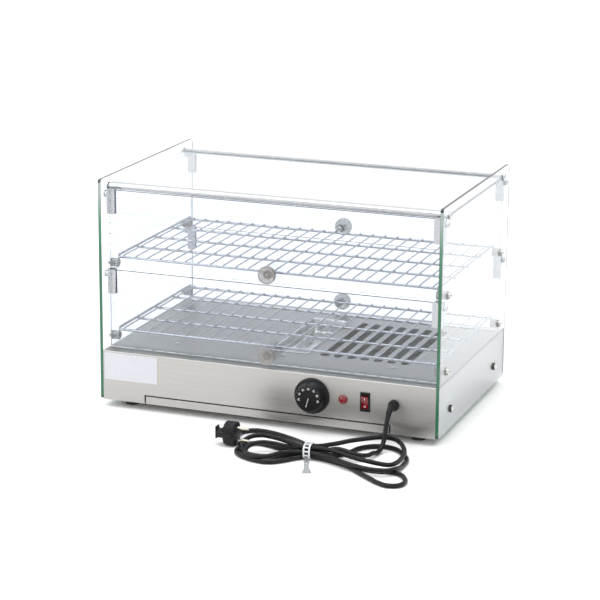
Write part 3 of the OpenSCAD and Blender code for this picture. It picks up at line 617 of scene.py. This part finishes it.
STEEL = brushed_steel("stainless_304_brushed", "#B1AFAC", "#A6A4A1", 0, 0.34)
PAN_STEEL = plain_metal("stainless_304_bright", "#C6C5C3", "#DCDBD9", 0.14, 60, 0.00008)
GALVANISED = plain_metal("galvanised_steel", "#8F9294", "#B9BCBE", 0.42, 120)
ZINC_SCREW = plain_metal("stainless_screws", "#B5B4B0", "#D6D4D0", 0.24, 900)
CHROME = plain_metal("bright_chrome_wire", "#A3A5A9", "#BBBDC0", 0.18, 700)
ANODISED = plain_metal("anodised_aluminium_rail", "#B9BBBE", "#CCCED0", 0.24, 500)
CLIP_METAL = plain_metal("satin_nickel_clip", "#A3A5A9", "#BBBDC1", 0.27, 600)
COPPER = plain_metal("copper_bulb", "#A5603C", "#C67B52", 0.35, 500)
SHEATH = plain_metal("incoloy_heater_sheath", "#4A4641", "#6B655E", 0.5, 500)
SHAFT = plain_metal("thermostat_plated_steel", "#A9ABAD", "#CBCCCD", 0.35, 300)
print("metals:", len([m for m in bpy.data.materials if m.use_nodes]))

# %% [markdown]
# ## Glass and clear plastic
# The panes are 5 mm toughened soda-lime glass, IOR 1.52. Iron in the glass makes it green
# where the eye looks along it, so a polished edge is dark green while the face is nearly
# clear. One material does both: it asks which way the surface faces in the pane's own
# coordinates. The edges are also painted paler towards the top, a painted highlight on the
# upper edges. The side panes' upright edges are ground, so they have a duller material of
# their own. Glass would keep lamps from lighting what is behind it, so rays from lamps are
# let straight through.

# %% Glass


def glass_edge():
    """A ground edge: glass green, with a painted highlight that turns it paler near the top."""
    material, output = new_material("ground_glass_edge_painted_highlight")
    place = add_node(material, "ShaderNodeTexCoord")
    height = add_node(material, "ShaderNodeSeparateXYZ", Vector=place.outputs["Object"])
    high = add_node(material, "ShaderNodeMapRange", Value=height.outputs["Z"],
                    From_Min=0.24, From_Max=0.345)
    ground = grain(material, (500, 500, 500), 2)
    # Painted highlight: the edge colour is painted paler as the height rises
    shader = add_node(material, "ShaderNodeBsdfPrincipled", IOR=1.52, Transmission_Weight=0.3,
                      Base_Color=ramp(material, high.outputs["Result"], (0.0, "#2F7450"),
                                      (0.55, "#4F8A6C"), (1.0, "#A9B8B2")),
                      Roughness=span(material, ground, 0.12, 0.25))
    return finish_material(material, output, shader)


def pane_glass(name, face_axis, face, edge):
    """Toughened glass: clear faces across face_axis, green edges painted paler at the top."""
    material, output = new_material(name)
    place = add_node(material, "ShaderNodeTexCoord")
    parts = add_node(material, "ShaderNodeSeparateXYZ", Vector=place.outputs["Normal"])
    facing = add_node(material, "ShaderNodeMath", {"operation": "ABSOLUTE"},
                      Value=parts.outputs[face_axis])
    height = add_node(material, "ShaderNodeSeparateXYZ", Vector=place.outputs["Object"])
    high = add_node(material, "ShaderNodeMapRange", Value=height.outputs["Z"],
                    From_Min=0.27, From_Max=0.345)
    # Painted highlight: the edge green is painted towards a pale grey near the top
    rim = ramp(material, high.outputs["Result"], (0.0, edge), (1.0, PAINTED_HIGHLIGHT_RIM_TOP))
    mask = add_node(material, "ShaderNodeMapRange", Value=facing.outputs[0],
                    From_Min=0.55, From_Max=0.9)
    tint = add_node(material, "ShaderNodeMix", {"data_type": "RGBA"},
                    Factor=mask.outputs["Result"], A=rim, B=colour(face))
    smear = grain(material, (14, 14, 14), 3)
    glass = add_node(material, "ShaderNodeBsdfPrincipled", Base_Color=tint.outputs[2], IOR=1.52,
                     Roughness=span(material, smear, 0.0, 0.012), Transmission_Weight=1.0)
    clear = add_node(material, "ShaderNodeBsdfTransparent", Color=colour("#F0F4F6"))
    path = add_node(material, "ShaderNodeLightPath")
    mix = add_node(material, "ShaderNodeMixShader", Fac=path.outputs["Is Shadow Ray"])
    links = material.node_tree.links
    links.new(glass.outputs[0], mix.inputs[1])
    links.new(clear.outputs[0], mix.inputs[2])
    return finish_material(material, output, mix)


# The pale grey the glass edges are painted towards at the top: a painted highlight
PAINTED_HIGHLIGHT_RIM_TOP = "#8E9B98"
EDGE = glass_edge()
GLASS_SIDE = pane_glass("toughened_glass_side", 0, "#F2F6F9", "#2A7A52")
GLASS_DOOR = pane_glass("toughened_glass_door", 1, "#E9EDF3", "#4C8A70")
GLASS_TOP = pane_glass("toughened_glass_top", 2, "#F2F6F9", "#4C8A70")
ACRYLIC = clear_plastic("clear_acrylic", "#B7B4B1", "#CDCAC7")

# %% [markdown]
# ## The dial
# The thermostat's dial is a phenolic moulding: a wide skirt, a fluted cone to grip, and a
# flat face with white numerals in degrees and a thin pointer. The numerals are real type
# set as curves, a tenth of a millimetre proud, as a hot-stamped mark is.

# %% Dial
dial_low, dial_high = corners("thermostat_knob")
dial = middle("thermostat_knob")
DIAL_OUT = dial_high.y - dial_low.y
FACE = DIAL_OUT - 0.35 * MM
bm = bmesh.new()
dial_back = (dial.x, dial_high.y, dial.z)
turned(bm, mm((7.2, 2.6), (7.2, 0), (27.2, 0), (27.9, 0.5), (27.9, 2.0), (27.2, 3.2),
              (26.0, 3.8), (24.2, 4.0)), dial_back, (0, -1, 0), 96)
turned(bm, mm((24.2, 4.0), (23.8, 4.6), (21.5, 14.8), (21.0, 15.8)), dial_back, (0, -1, 0),
       192, 48, 0.35 * MM)
turned(bm, [(20.9 * MM, 15.7 * MM), (20.6 * MM, 16.5 * MM), (20.0 * MM, DIAL_OUT - 0.05 * MM),
            (19.2 * MM, DIAL_OUT - 0.02 * MM), (18.8 * MM, FACE), (0, FACE)], dial_back,
       (0, -1, 0), 96)
piece("dial", bm, BAKELITE, "thermostat_knob", ["thermostat_knob"])


# Hot-stamped foil: matt titanium white, worn through in places
INK = noisy_finish("white_stamping_foil", 2500, 2, "#C9CAC8", "#F2F2F0", 0.45, 0.6,
                   stops=(0.25, 0.5), IOR=1.5)


def printed_mesh(name, text, height, matrix):
    """A numeral as a thin mesh, centred on the origin of matrix."""
    data = bpy.data.curves.new(name, "FONT")
    data.body, data.size, data.align_x, data.align_y = text, height, "CENTER", "CENTER"
    data.extrude = 0.05 * MM
    data.resolution_u = 3
    holder = bpy.data.objects.new(name, data)
    bpy.context.scene.collection.objects.link(holder)
    depsgraph = bpy.context.evaluated_depsgraph_get()
    mesh = bpy.data.meshes.new_from_object(holder.evaluated_get(depsgraph))
    mesh.transform(matrix)
    bpy.data.objects.remove(holder)
    return mesh


# Faces the operator: the type's X runs along +X, its Y up, and its front looks along -Y.
FACING_FRONT = Matrix(((1, 0, 0), (0, 0, -1), (0, 1, 0))).to_4x4()
face_y = dial_high.y - FACE
POINTER_AT = 165  # degrees anticlockwise of the top
bm = bmesh.new()


def dial_turn(degrees):
    """The place on the dial's face whose up is that many degrees anticlockwise of the top."""
    return (Matrix.Translation((dial.x, face_y, dial.z)) @ FACING_FRONT
            @ Matrix.Rotation(math.radians(degrees), 4, "Z"))


def dial_bar(degrees, half_width, start, end):
    before = len(bm.verts)
    rounded_block(bm, (-half_width, start, 0), (half_width, end, 0.12 * MM), 0)
    bm.verts.ensure_lookup_table()
    bmesh.ops.transform(bm, verts=bm.verts[before:], matrix=dial_turn(degrees))


numerals = range(30, 100, 10)
SWEEP = 100  # degrees to each side of the top
for k, value in enumerate(numerals):
    at = SWEEP - 2 * SWEEP * k / (len(numerals) - 1)
    place = dial_turn(at) @ Matrix.Translation((0, 15.2 * MM, 0.05 * MM))
    bm.from_mesh(printed_mesh(f"numeral_{value}", str(value), 4.2 * MM, place))
    dial_bar(at, 0.2 * MM, 17.7 * MM, 18.7 * MM)
for k in range(2 * len(numerals) - 1):
    dial_bar(SWEEP - SWEEP * k / (len(numerals) - 1), 0.15 * MM, 18.0 * MM, 18.7 * MM)
dial_bar(POINTER_AT, 0.34 * MM, -0.5 * MM, 14 * MM)
piece("dial_numerals", bm, INK, "thermostat_knob")

# %% [markdown]
# ## Pilot lamp and switch
# The lamp's lens and the rocker are red transparent polycarbonate. The lens has twelve cut
# facets that spread the light, so it is lathed with twelve sides and kept sharp. The rocker
# is a shallow V with the two usual marks moulded in, one bar and one ring.

# %% Lamp and rocker
# Red polycarbonate in a tone that varies at random, with a faint painted glow from emission
RED_WITH_PAINTED_GLOW = noisy_finish("red_polycarbonate_painted_glow", 250, 2, "#6A050C", "#8E0A14", 0.06, 0.14, IOR=1.58,
                   # Painted glow: a faint red emission on the lens and the rocker
                   Transmission_Weight=0.25, Emission_Color=colour("#A00A16"),
                   Emission_Strength=0.03)
lamp_low = Vector(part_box("pilot_lamp")[0])
lamp = middle("pilot_lamp")
lamp_r, lamp_out = size("pilot_lamp").x / 2, front_y - lamp_low.y
bm = bmesh.new()
turned(bm, [(0, -22 * MM), (lamp_r - 1.7 * MM, -22 * MM), (lamp_r - 1.7 * MM, 0), (lamp_r, 0),
            (lamp_r, 1.0 * MM), (lamp_r - 0.5 * MM, 1.5 * MM)], (lamp.x, front_y, lamp.z),
       (0, -1, 0), 36)
turned(bm, [(lamp_r - 0.5 * MM, 1.5 * MM), (lamp_r - 1.0 * MM, 2.0 * MM),
            (lamp_r - 2.0 * MM, lamp_out - 1.4 * MM), (lamp_r - 4.2 * MM, lamp_out - 0.15 * MM),
            (0, lamp_out)], (lamp.x, front_y, lamp.z), (0, -1, 0), 12)
piece("lamp_lens", bm, RED_WITH_PAINTED_GLOW, "case", ["pilot_lamp"], 20)

switch = middle("switch_housing")
switch_w, switch_h = size("switch_housing").x, size("switch_housing").z
bezel_y, box_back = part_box("switch_housing")[0][1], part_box("switch_housing")[1][1]
bm = bmesh.new()
side, end = 2.6 * MM, 4.2 * MM
for x0, x1, z0, z1 in (
        (-switch_w / 2, switch_w / 2, switch_h / 2 - end, switch_h / 2),
        (-switch_w / 2, switch_w / 2, -switch_h / 2, -switch_h / 2 + end),
        (-switch_w / 2, -switch_w / 2 + side, -switch_h / 2 + end, switch_h / 2 - end),
        (switch_w / 2 - side, switch_w / 2, -switch_h / 2 + end, switch_h / 2 - end)):
    rounded_block(bm, (switch.x + x0, bezel_y, switch.z + z0),
                  (switch.x + x1, front_y, switch.z + z1), 0.45 * MM)
inner_w, inner_h = switch_w / 2 - 1.4 * MM, switch_h / 2 - 1.7 * MM
rounded_block(bm, (switch.x - inner_w, front_y + 7.5 * MM, switch.z - inner_h),
              (switch.x + inner_w, box_back, switch.z + inner_h), 0.5 * MM)
for side in (-1, 1):
    rounded_block(bm, (switch.x + side * inner_w, front_y - 0.5 * MM, switch.z - inner_h),
                  (switch.x + side * (inner_w - 0.7 * MM), front_y + 8 * MM, switch.z + inner_h), 0)
    rounded_block(bm, (switch.x - inner_w, front_y - 0.5 * MM, switch.z + side * inner_h),
                  (switch.x + inner_w, front_y + 8 * MM, switch.z + side * (inner_h - 0.6 * MM)), 0)
piece("switch_bezel", bm, NYLON_BLACK, "case", ["switch_housing"])

rocker = middle("switch_rocker")
ROCKER_TILT = math.radians(9)
rocker_w = size("switch_rocker").x - 0.1 * MM
pivot = Vector((rocker.x, front_y + 1 * MM, switch.z))
bm = bmesh.new()
side_view = [(-2.5, 0), (-3.5, 5), (-4.0, 9.1), (-3.5, 9.7), (1.2, 9.2), (3, 0), (1.2, -9.2),
             (-3.5, -9.7), (-4.0, -9.1), (-3.5, -5)]
extruded(bm, [(y * MM, z * MM) for y, z in side_view], 0, -rocker_w / 2, rocker_w / 2, 0.35 * MM)
bmesh.ops.transform(bm, verts=bm.verts,
                    matrix=Matrix.Translation(pivot) @ Matrix.Rotation(ROCKER_TILT, 4, "X"))
piece("rocker", bm, RED_WITH_PAINTED_GLOW, "switch_rocker", ["switch_rocker"])
bm = bmesh.new()
rounded_block(bm, (-0.4 * MM, -3.95 * MM, 4.4 * MM), (0.4 * MM, -3.4 * MM, 7.8 * MM), 0.1 * MM)
ring = mm((1.6, 0), (1.6, 0.4), (1.15, 0.4), (1.15, 0), (1.6, 0))
turned(bm, ring, (0, -3.4 * MM, -6.1 * MM), (0, -1, 0.12), 28)
bmesh.ops.transform(bm, verts=bm.verts,
                    matrix=Matrix.Translation(pivot) @ Matrix.Rotation(ROCKER_TILT, 4, "X"))
piece("rocker_marks", bm, INK, "switch_rocker")

# %% [markdown]
# ## Door knobs
# Each door is lifted by a clear turned knob, bolted through the glass. The stem flares into
# a thick disc with round edges and a shallow dish in its face, and the bolt is seen through
# it. The same profile serves all four doors.

# %% Door knobs and their bolts
DOORS = [f"{side}_{level}" for side in ("front", "back") for level in ("upper", "lower")]


def socket_bolt(bm, head_at, axis, head_r, head_l, long, shank_r, hex_r):
    """A cap bolt: head_at is under its head, axis points from the head's top down its shank."""
    axis = Vector(axis)
    top = -head_l
    turned(bm, [(hex_r, top + 0.55 * head_l), (hex_r, top), (head_r - 0.5 * MM, top),
                (head_r, top + 0.5 * MM), (head_r, 0), (shank_r, 0), (shank_r, long - 0.5 * MM),
                (shank_r - 0.5 * MM, long), (0, long)], head_at, axis, 36)
    turned(bm, [(hex_r, top + 0.55 * head_l), (0, top + 0.55 * head_l)], head_at, axis, 36)


for door in DOORS:
    knob_low, knob_high = corners(f"knob_{door}")
    knob = middle(f"knob_{door}")
    out = -1 if door.startswith("front") else 1
    root_y = knob_high.y if out < 0 else knob_low.y
    knob_r, long = size(f"knob_{door}").x / 2, size(f"knob_{door}").y
    bm = bmesh.new()
    profile = [(2.7 * MM, 13 * MM), (2.7 * MM, 0), (6.6 * MM, 0), (7 * MM, 0.4 * MM),
               (6.6 * MM, 3 * MM), (6.4 * MM, 6 * MM), (7.6 * MM, 8.8 * MM),
               (knob_r - 2.6 * MM, 10 * MM)]
    profile += [(knob_r - 2.2 * MM + 2.2 * MM * math.sin(math.radians(a)),
                 12.2 * MM - 2.2 * MM * math.cos(math.radians(a))) for a in range(10, 91, 20)]
    profile += [(knob_r - 2.2 * MM + 2.2 * MM * math.cos(math.radians(a)),
                 long - 2.2 * MM + 2.2 * MM * math.sin(math.radians(a))) for a in range(0, 91, 18)]
    profile += [(knob_r - 4.2 * MM, long - 0.25 * MM), (knob_r - 6.5 * MM, long - 0.9 * MM),
                (0, long - 1.1 * MM)]
    turned(bm, profile, (knob.x, root_y, knob.z), (0, out, 0), 56)
    turned(bm, mm((2.7, 13), (0, 13)), (knob.x, root_y, knob.z), (0, out, 0), 56)
    piece(f"door_knob_{door}", bm, ACRYLIC, f"door_{door}", [f"knob_{door}"])
    bolt_low, bolt_high = corners(f"bolt_{door}")
    head_y = bolt_high.y - 3 * MM if out < 0 else bolt_low.y + 3 * MM
    bm = bmesh.new()
    socket_bolt(bm, (knob.x, head_y, knob.z), (0, out, 0), 4.5 * MM, 3 * MM,
                size(f"bolt_{door}").y - 3 * MM, 2.5 * MM, 1.6 * MM)
    piece(f"knob_bolt_{door}", bm, ZINC_SCREW, f"door_{door}",
          [f"bolt_{door}"])

# %% [markdown]
# ## Screws in the glass
# Rails, racks and the base are all held through the side panes. The rails' screws have wide
# domed caps, the racks' studs have socket bolts, and the base has domed cross-head screws on
# dark washers, drawn here as plain domes without their recess.

# %% Side screws
side_left, side_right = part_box("glass_side_left")[0][0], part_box("glass_side_right")[1][0]
case_mid = (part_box("glass_side_right")[0][1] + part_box("glass_side_right")[1][1]) / 2


def domed_screw(bm, seat, axis, head_r, head_l, long, shank_r):
    """A domed screw; seat is under its head and axis points down its shank."""
    dome = [(head_r * math.cos(a), -head_l * (0.25 + 0.75 * math.sin(a)))
            for a in map(math.radians, range(0, 90, 12))]
    turned(bm, [(0, -head_l)] + dome[::-1] + [(head_r - 0.2 * MM, 0), (shank_r, 0),
               (shank_r, long - 0.4 * MM), (shank_r - 0.4 * MM, long), (0, long)], seat, axis, 40)


rail_centre_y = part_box("rail_screws")[1][1] - 6.25 * MM - case_mid
rail_centre_z = middle("rail_screws").z
bm_rail, bm_stud, bm_base = bmesh.new(), bmesh.new(), bmesh.new()
stud_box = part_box("rack_studs")
stud_r = 7 * MM
stud_y = stud_box[1][1] - stud_r - case_mid
stud_levels = (stud_box[0][2] + stud_r, stud_box[1][2] - stud_r)
base_screw_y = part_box("glass_washers")[1][1] - 6 * MM - case_mid
base_screw_z = middle("glass_washers").z
for face, way in ((side_left, 1), (side_right, -1)):
    for s in (-1, 1):
        domed_screw(bm_rail, (face, case_mid + s * rail_centre_y, rail_centre_z), (way, 0, 0),
                    6.25 * MM, 3.5 * MM, 18 * MM, 2 * MM)
        for level in stud_levels:
            socket_bolt(bm_stud, (face, case_mid + s * stud_y, level), (way, 0, 0), 5.35 * MM,
                        3.5 * MM, 13 * MM, 2.5 * MM, 2 * MM)
        domed_screw(bm_base, (face - way * 1.5 * MM, case_mid + s * base_screw_y, base_screw_z),
                    (way, 0, 0), 4.25 * MM, 3 * MM, 16 * MM, 2.5 * MM)
        turned(bm_base, mm((2.55, 0), (4.3, 0), (4.3, 4), (2.55, 4)),
               (face + way * 6.5 * MM, case_mid + s * base_screw_y, base_screw_z), (way, 0, 0), 6)
piece("rail_caps", bm_rail, ANODISED, "case", ["rail_screws"])
piece("stud_socket_bolts", bm_stud, ZINC_SCREW, "case", ["stud_bolts"])
piece("base_side_screws", bm_base, ZINC_SCREW, "case", ["glass_screws"])

# %% [markdown]
# ## Clear studs
# Eight short clear cylinders stand inside the side panes, and the racks' outer wires rest on
# them. Their ends are chamfered, as turned acrylic rod is.

# %% Studs
bm = bmesh.new()
stud_l = 13 * MM
inner_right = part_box("glass_side_right")[0][0]
for side in (-1, 1):
    for s in (-1, 1):
        for level in stud_levels:
            turned(bm, [(2.7 * MM, 4 * MM), (2.7 * MM, 0),
                        (stud_r - 0.6 * MM, 0), (stud_r, 0.6 * MM),
                        (stud_r, stud_l - 0.8 * MM), (stud_r - 0.8 * MM, stud_l), (0, stud_l)],
                   (side * inner_right, case_mid + s * stud_y, level), (-side, 0, 0), 40)
            turned(bm, mm((2.7, 4), (2.7, 9), (0, 9)),
                   (side * inner_right, case_mid + s * stud_y, level), (-side, 0, 0), 40)
piece("clear_studs", bm, ACRYLIC, "case", ["rack_studs"])

# %% [markdown]
# ## Wire racks
# A rack is five long wires with thinner cross wires welded on top, and a heavier bar across
# each end. Each wire is a lathed rod with a domed end, and where two cross, the weld has let
# one sink a little into the other. Bright chrome over copper gives a near-mirror.

# %% Racks


def wire(bm, start, end, radius, sides=14):
    """A straight round wire with domed ends."""
    start, end = Vector(start), Vector(end)
    long = (end - start).length
    bend = [(radius * math.sin(math.radians(a)), radius * (1 - math.cos(math.radians(a))))
            for a in (0, 30, 60, 90)]
    profile = bend + [(r, long - d) for r, d in reversed(bend)]
    turned(bm, profile, start, end - start, sides)


def wire_rack(node):
    low, high = corners(node)
    bm = bmesh.new()
    long_r, cross_r, bite = 2.0 * MM, 1.2 * MM, 0.3 * MM
    z = low.z + long_r
    y_mid = (low.y + high.y) / 2
    half_d = (high.y - low.y) / 2 - 2 * MM
    for k in range(-2, 3):
        wire(bm, (low.x, y_mid + k * half_d / 2, z), (high.x, y_mid + k * half_d / 2, z), long_r)
    cross_half = (high.x - low.x) / 2 - 10.3 * MM
    count = 1 + round(2 * cross_half / (21 * MM))
    top = z + long_r + cross_r - bite
    for k in range(count):
        x = (low.x + high.x) / 2 - cross_half + 2 * cross_half * k / (count - 1)
        wire(bm, (x, low.y, top), (x, high.y, top), cross_r, 12)
    for x in (low.x + 2.5 * MM, high.x - 2.5 * MM):
        wire(bm, (x, low.y, z + 2 * long_r - bite), (x, high.y, z + 2 * long_r - bite), long_r)
    return piece(f"{node}_wires", bm, CHROME, node, [node], 60)


for node in ("rack_upper", "rack_lower"):
    wire_rack(node)

# %% [markdown]
# ## Water pan
# A pan of thin bright steel hangs in the deck by its rim and keeps the food moist. It is
# drawn from sheet, so its corners are round, its sides lean in a little and its rim is
# flat. Rows of the same rounded outline are skinned together.

# %% Water pan
pan_low, pan_high = corners("water_pan")
pan_mid = (pan_low + pan_high) / 2
pan_w, pan_d = pan_high.x - pan_low.x, pan_high.y - pan_low.y
bm = bmesh.new()
rows = []
PAN_ROWS = [  # how far in from the rim, height above the pan's underside, corner radius
    (0, 22.2, 9.5), (0, 23.0, 9.5), (0.3, 23.3, 9.2), (3.9, 23.3, 7.4), (4.7, 22.7, 7.0),
    (5.2, 21.0, 6.8), (5.9, 4.0, 6.4), (6.6, 1.9, 6.0), (8.4, 0.9, 5.0), (12, 0.8, 4.0),
    (12, 0.0, 4.0), (8.0, 0.1, 5.4), (5.6, 1.2, 6.4), (5.0, 3.6, 7.0), (4.3, 20.6, 7.4),
    (4.0, 22.2, 7.5)]
for inset, height, corner in PAN_ROWS:
    outline = round_outline(pan_w - 2 * inset * MM, pan_d - 2 * inset * MM, corner * MM,
                            (pan_mid.x, pan_mid.y), 6)
    rows.append([bm.verts.new((x, y, pan_low.z + height * MM)) for x, y in outline])
for one, two in zip(rows, rows[1:] + rows[:1]):
    if one is rows[9]:
        continue
    for k in range(len(one)):
        n = (k + 1) % len(one)
        bm.faces.new((one[k], one[n], two[n], two[k]))
bm.faces.new(rows[9])
bm.faces.new(rows[10][::-1])
piece("drawn_water_pan", bm, PAN_STEEL, "water_pan", ["water_pan"], 40)

# %% [markdown]
# ## Finishes of the plain CAD parts
# The folded base, the panes, rails, clips, pins, bushes, feet and the parts inside are exact
# as the CAD has them, so they keep their meshes and take a material each. The side plates
# touch the glass face to face, which renders black, so side_cheeks stands in for them half a
# millimetre further in. pane_edges are thin strips of ground glass on the upright edges.

# %% Materials on CAD nodes
RUBBER = noisy_finish("nitrile_rubber", 400, 3, "#1E1E1F", "#333335", 0.6, 0.8, IOR=1.52)
# A satin polyester label, left blank
LABEL = noisy_finish("blank_polyester_label", 600, 3, "#B9BAC0", "#C4C5CB", 0.3, 0.42, IOR=1.5)
CERAMIC = noisy_finish("steatite_ceramic", 200, 2, "#DAD3C3", "#EAE5D9", 0.15, 0.3, IOR=1.6)
FINISH = {
    "base_cover": STEEL, "bottom_plate": STEEL, "feet": RUBBER,
    "foot_screws": ZINC_SCREW, "bottom_screws": ZINC_SCREW, "deck_screws": ZINC_SCREW,
    "glass_side_left": GLASS_SIDE, "glass_side_right": GLASS_SIDE, "glass_top": GLASS_TOP,
    "glass_washers": RUBBER, "rail_front": ANODISED, "rail_back": ANODISED,
    "hinge_bushes": NYLON, "heater_tray": GALVANISED, "heating_element": SHEATH,
    "element_clamps": GALVANISED, "thermostat_shaft": SHAFT, "thermostat_body": SHAFT,
    "thermostat_bulb": COPPER, "terminal_block": CERAMIC, "label_plate": LABEL,
}
for door in DOORS:
    FINISH[f"door_{door}"] = GLASS_DOOR
    FINISH[f"clips_{door}"] = CLIP_METAL
    FINISH[f"pins_{door}"] = ZINC_SCREW
bm = bmesh.new()
for node in ("glass_side_left", "glass_side_right"):
    low, high = corners(node)
    for edge_y, way in ((low.y, 1), (high.y, -1)):
        y0, y1 = sorted((edge_y - way * 0.02 * MM, edge_y + way * 0.3 * MM))
        rounded_block(bm, (low.x + 0.3 * MM, y0, low.z + 5 * MM),
                      (high.x - 0.3 * MM, y1, high.z - 5 * MM), 0)
piece("pane_edges", bm, EDGE, "case")
cheek_low, cheek_high = corners("side_plates")
bm = bmesh.new()
for s in (-1, 1):
    outer, thick, lap = s * (cheek_high.x - 0.5 * MM), 0.9 * MM, 15 * MM
    for x0, x1, y0, y1, z0, z1 in (
            (outer - s * thick, outer, cheek_low.y, cheek_high.y, cheek_low.z, cheek_high.z),
            (outer - s * lap, outer - s * thick / 2, cheek_low.y + 18 * MM, cheek_high.y - 18 * MM,
             cheek_low.z + 1 * MM, cheek_low.z + 2 * MM)):
        rounded_block(bm, (min(x0, x1), y0, z0), (max(x0, x1), y1, z1), 0.3 * MM)
piece("side_cheeks", bm, STEEL, "case", ["side_plates"])
for node, material in FINISH.items():
    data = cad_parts[node].data
    for k in range(len(data.materials)):
        data.materials[k] = material
    if not data.materials:
        data.materials.append(material)
print("CAD nodes given a finish:", len(FINISH))

# %% [markdown]
# ## Floor and light
# The case stands on a plain white floor that runs out of the picture. The whole sky is an
# even white and two large soft lights shape the metal. The view transform is Standard so
# that white stays white.

# %% Studio
scene = bpy.context.scene
scene.view_settings.view_transform = "Standard"
world = bpy.data.worlds.new("studio")
scene.world = world
world.use_nodes = True
world.node_tree.nodes["Background"].inputs["Color"].default_value = colour("#FFFFFF")
world.node_tree.nodes["Background"].inputs["Strength"].default_value = 1.12


def floor_paper():
    """A seamless paper sweep: matt white."""
    material, output = new_material("white_paper_sweep")
    shader = add_node(material, "ShaderNodeBsdfPrincipled", Roughness=0.6,
                      Base_Color=colour("#F6F6F6"))
    return finish_material(material, output, shader)


bm = bmesh.new()
bmesh.ops.create_grid(bm, x_segments=1, y_segments=1, size=20)
floor_mesh = bpy.data.meshes.new("floor")
bm.to_mesh(floor_mesh)
bm.free()
floor_mesh.materials.append(floor_paper())
floor = bpy.data.objects.new("floor", floor_mesh)
scene.collection.objects.link(floor)


def soft_light(name, place, target, side, watts):
    """A square area light that looks at a point."""
    data = bpy.data.lights.new(name, "AREA")
    data.size, data.energy = side, watts
    light = bpy.data.objects.new(name, data)
    light.location = place
    light.rotation_euler = (Vector(target) - Vector(place)).to_track_quat("-Z", "Y").to_euler()
    scene.collection.objects.link(light)


soft_light("overhead_bank", (0, 0, 2.6), (0, 0, 0.1), 3.0, 60)
soft_light("front_left_bank", (-2.2, -2.2, 1.6), (0, 0, 0.2), 1.6, 25)
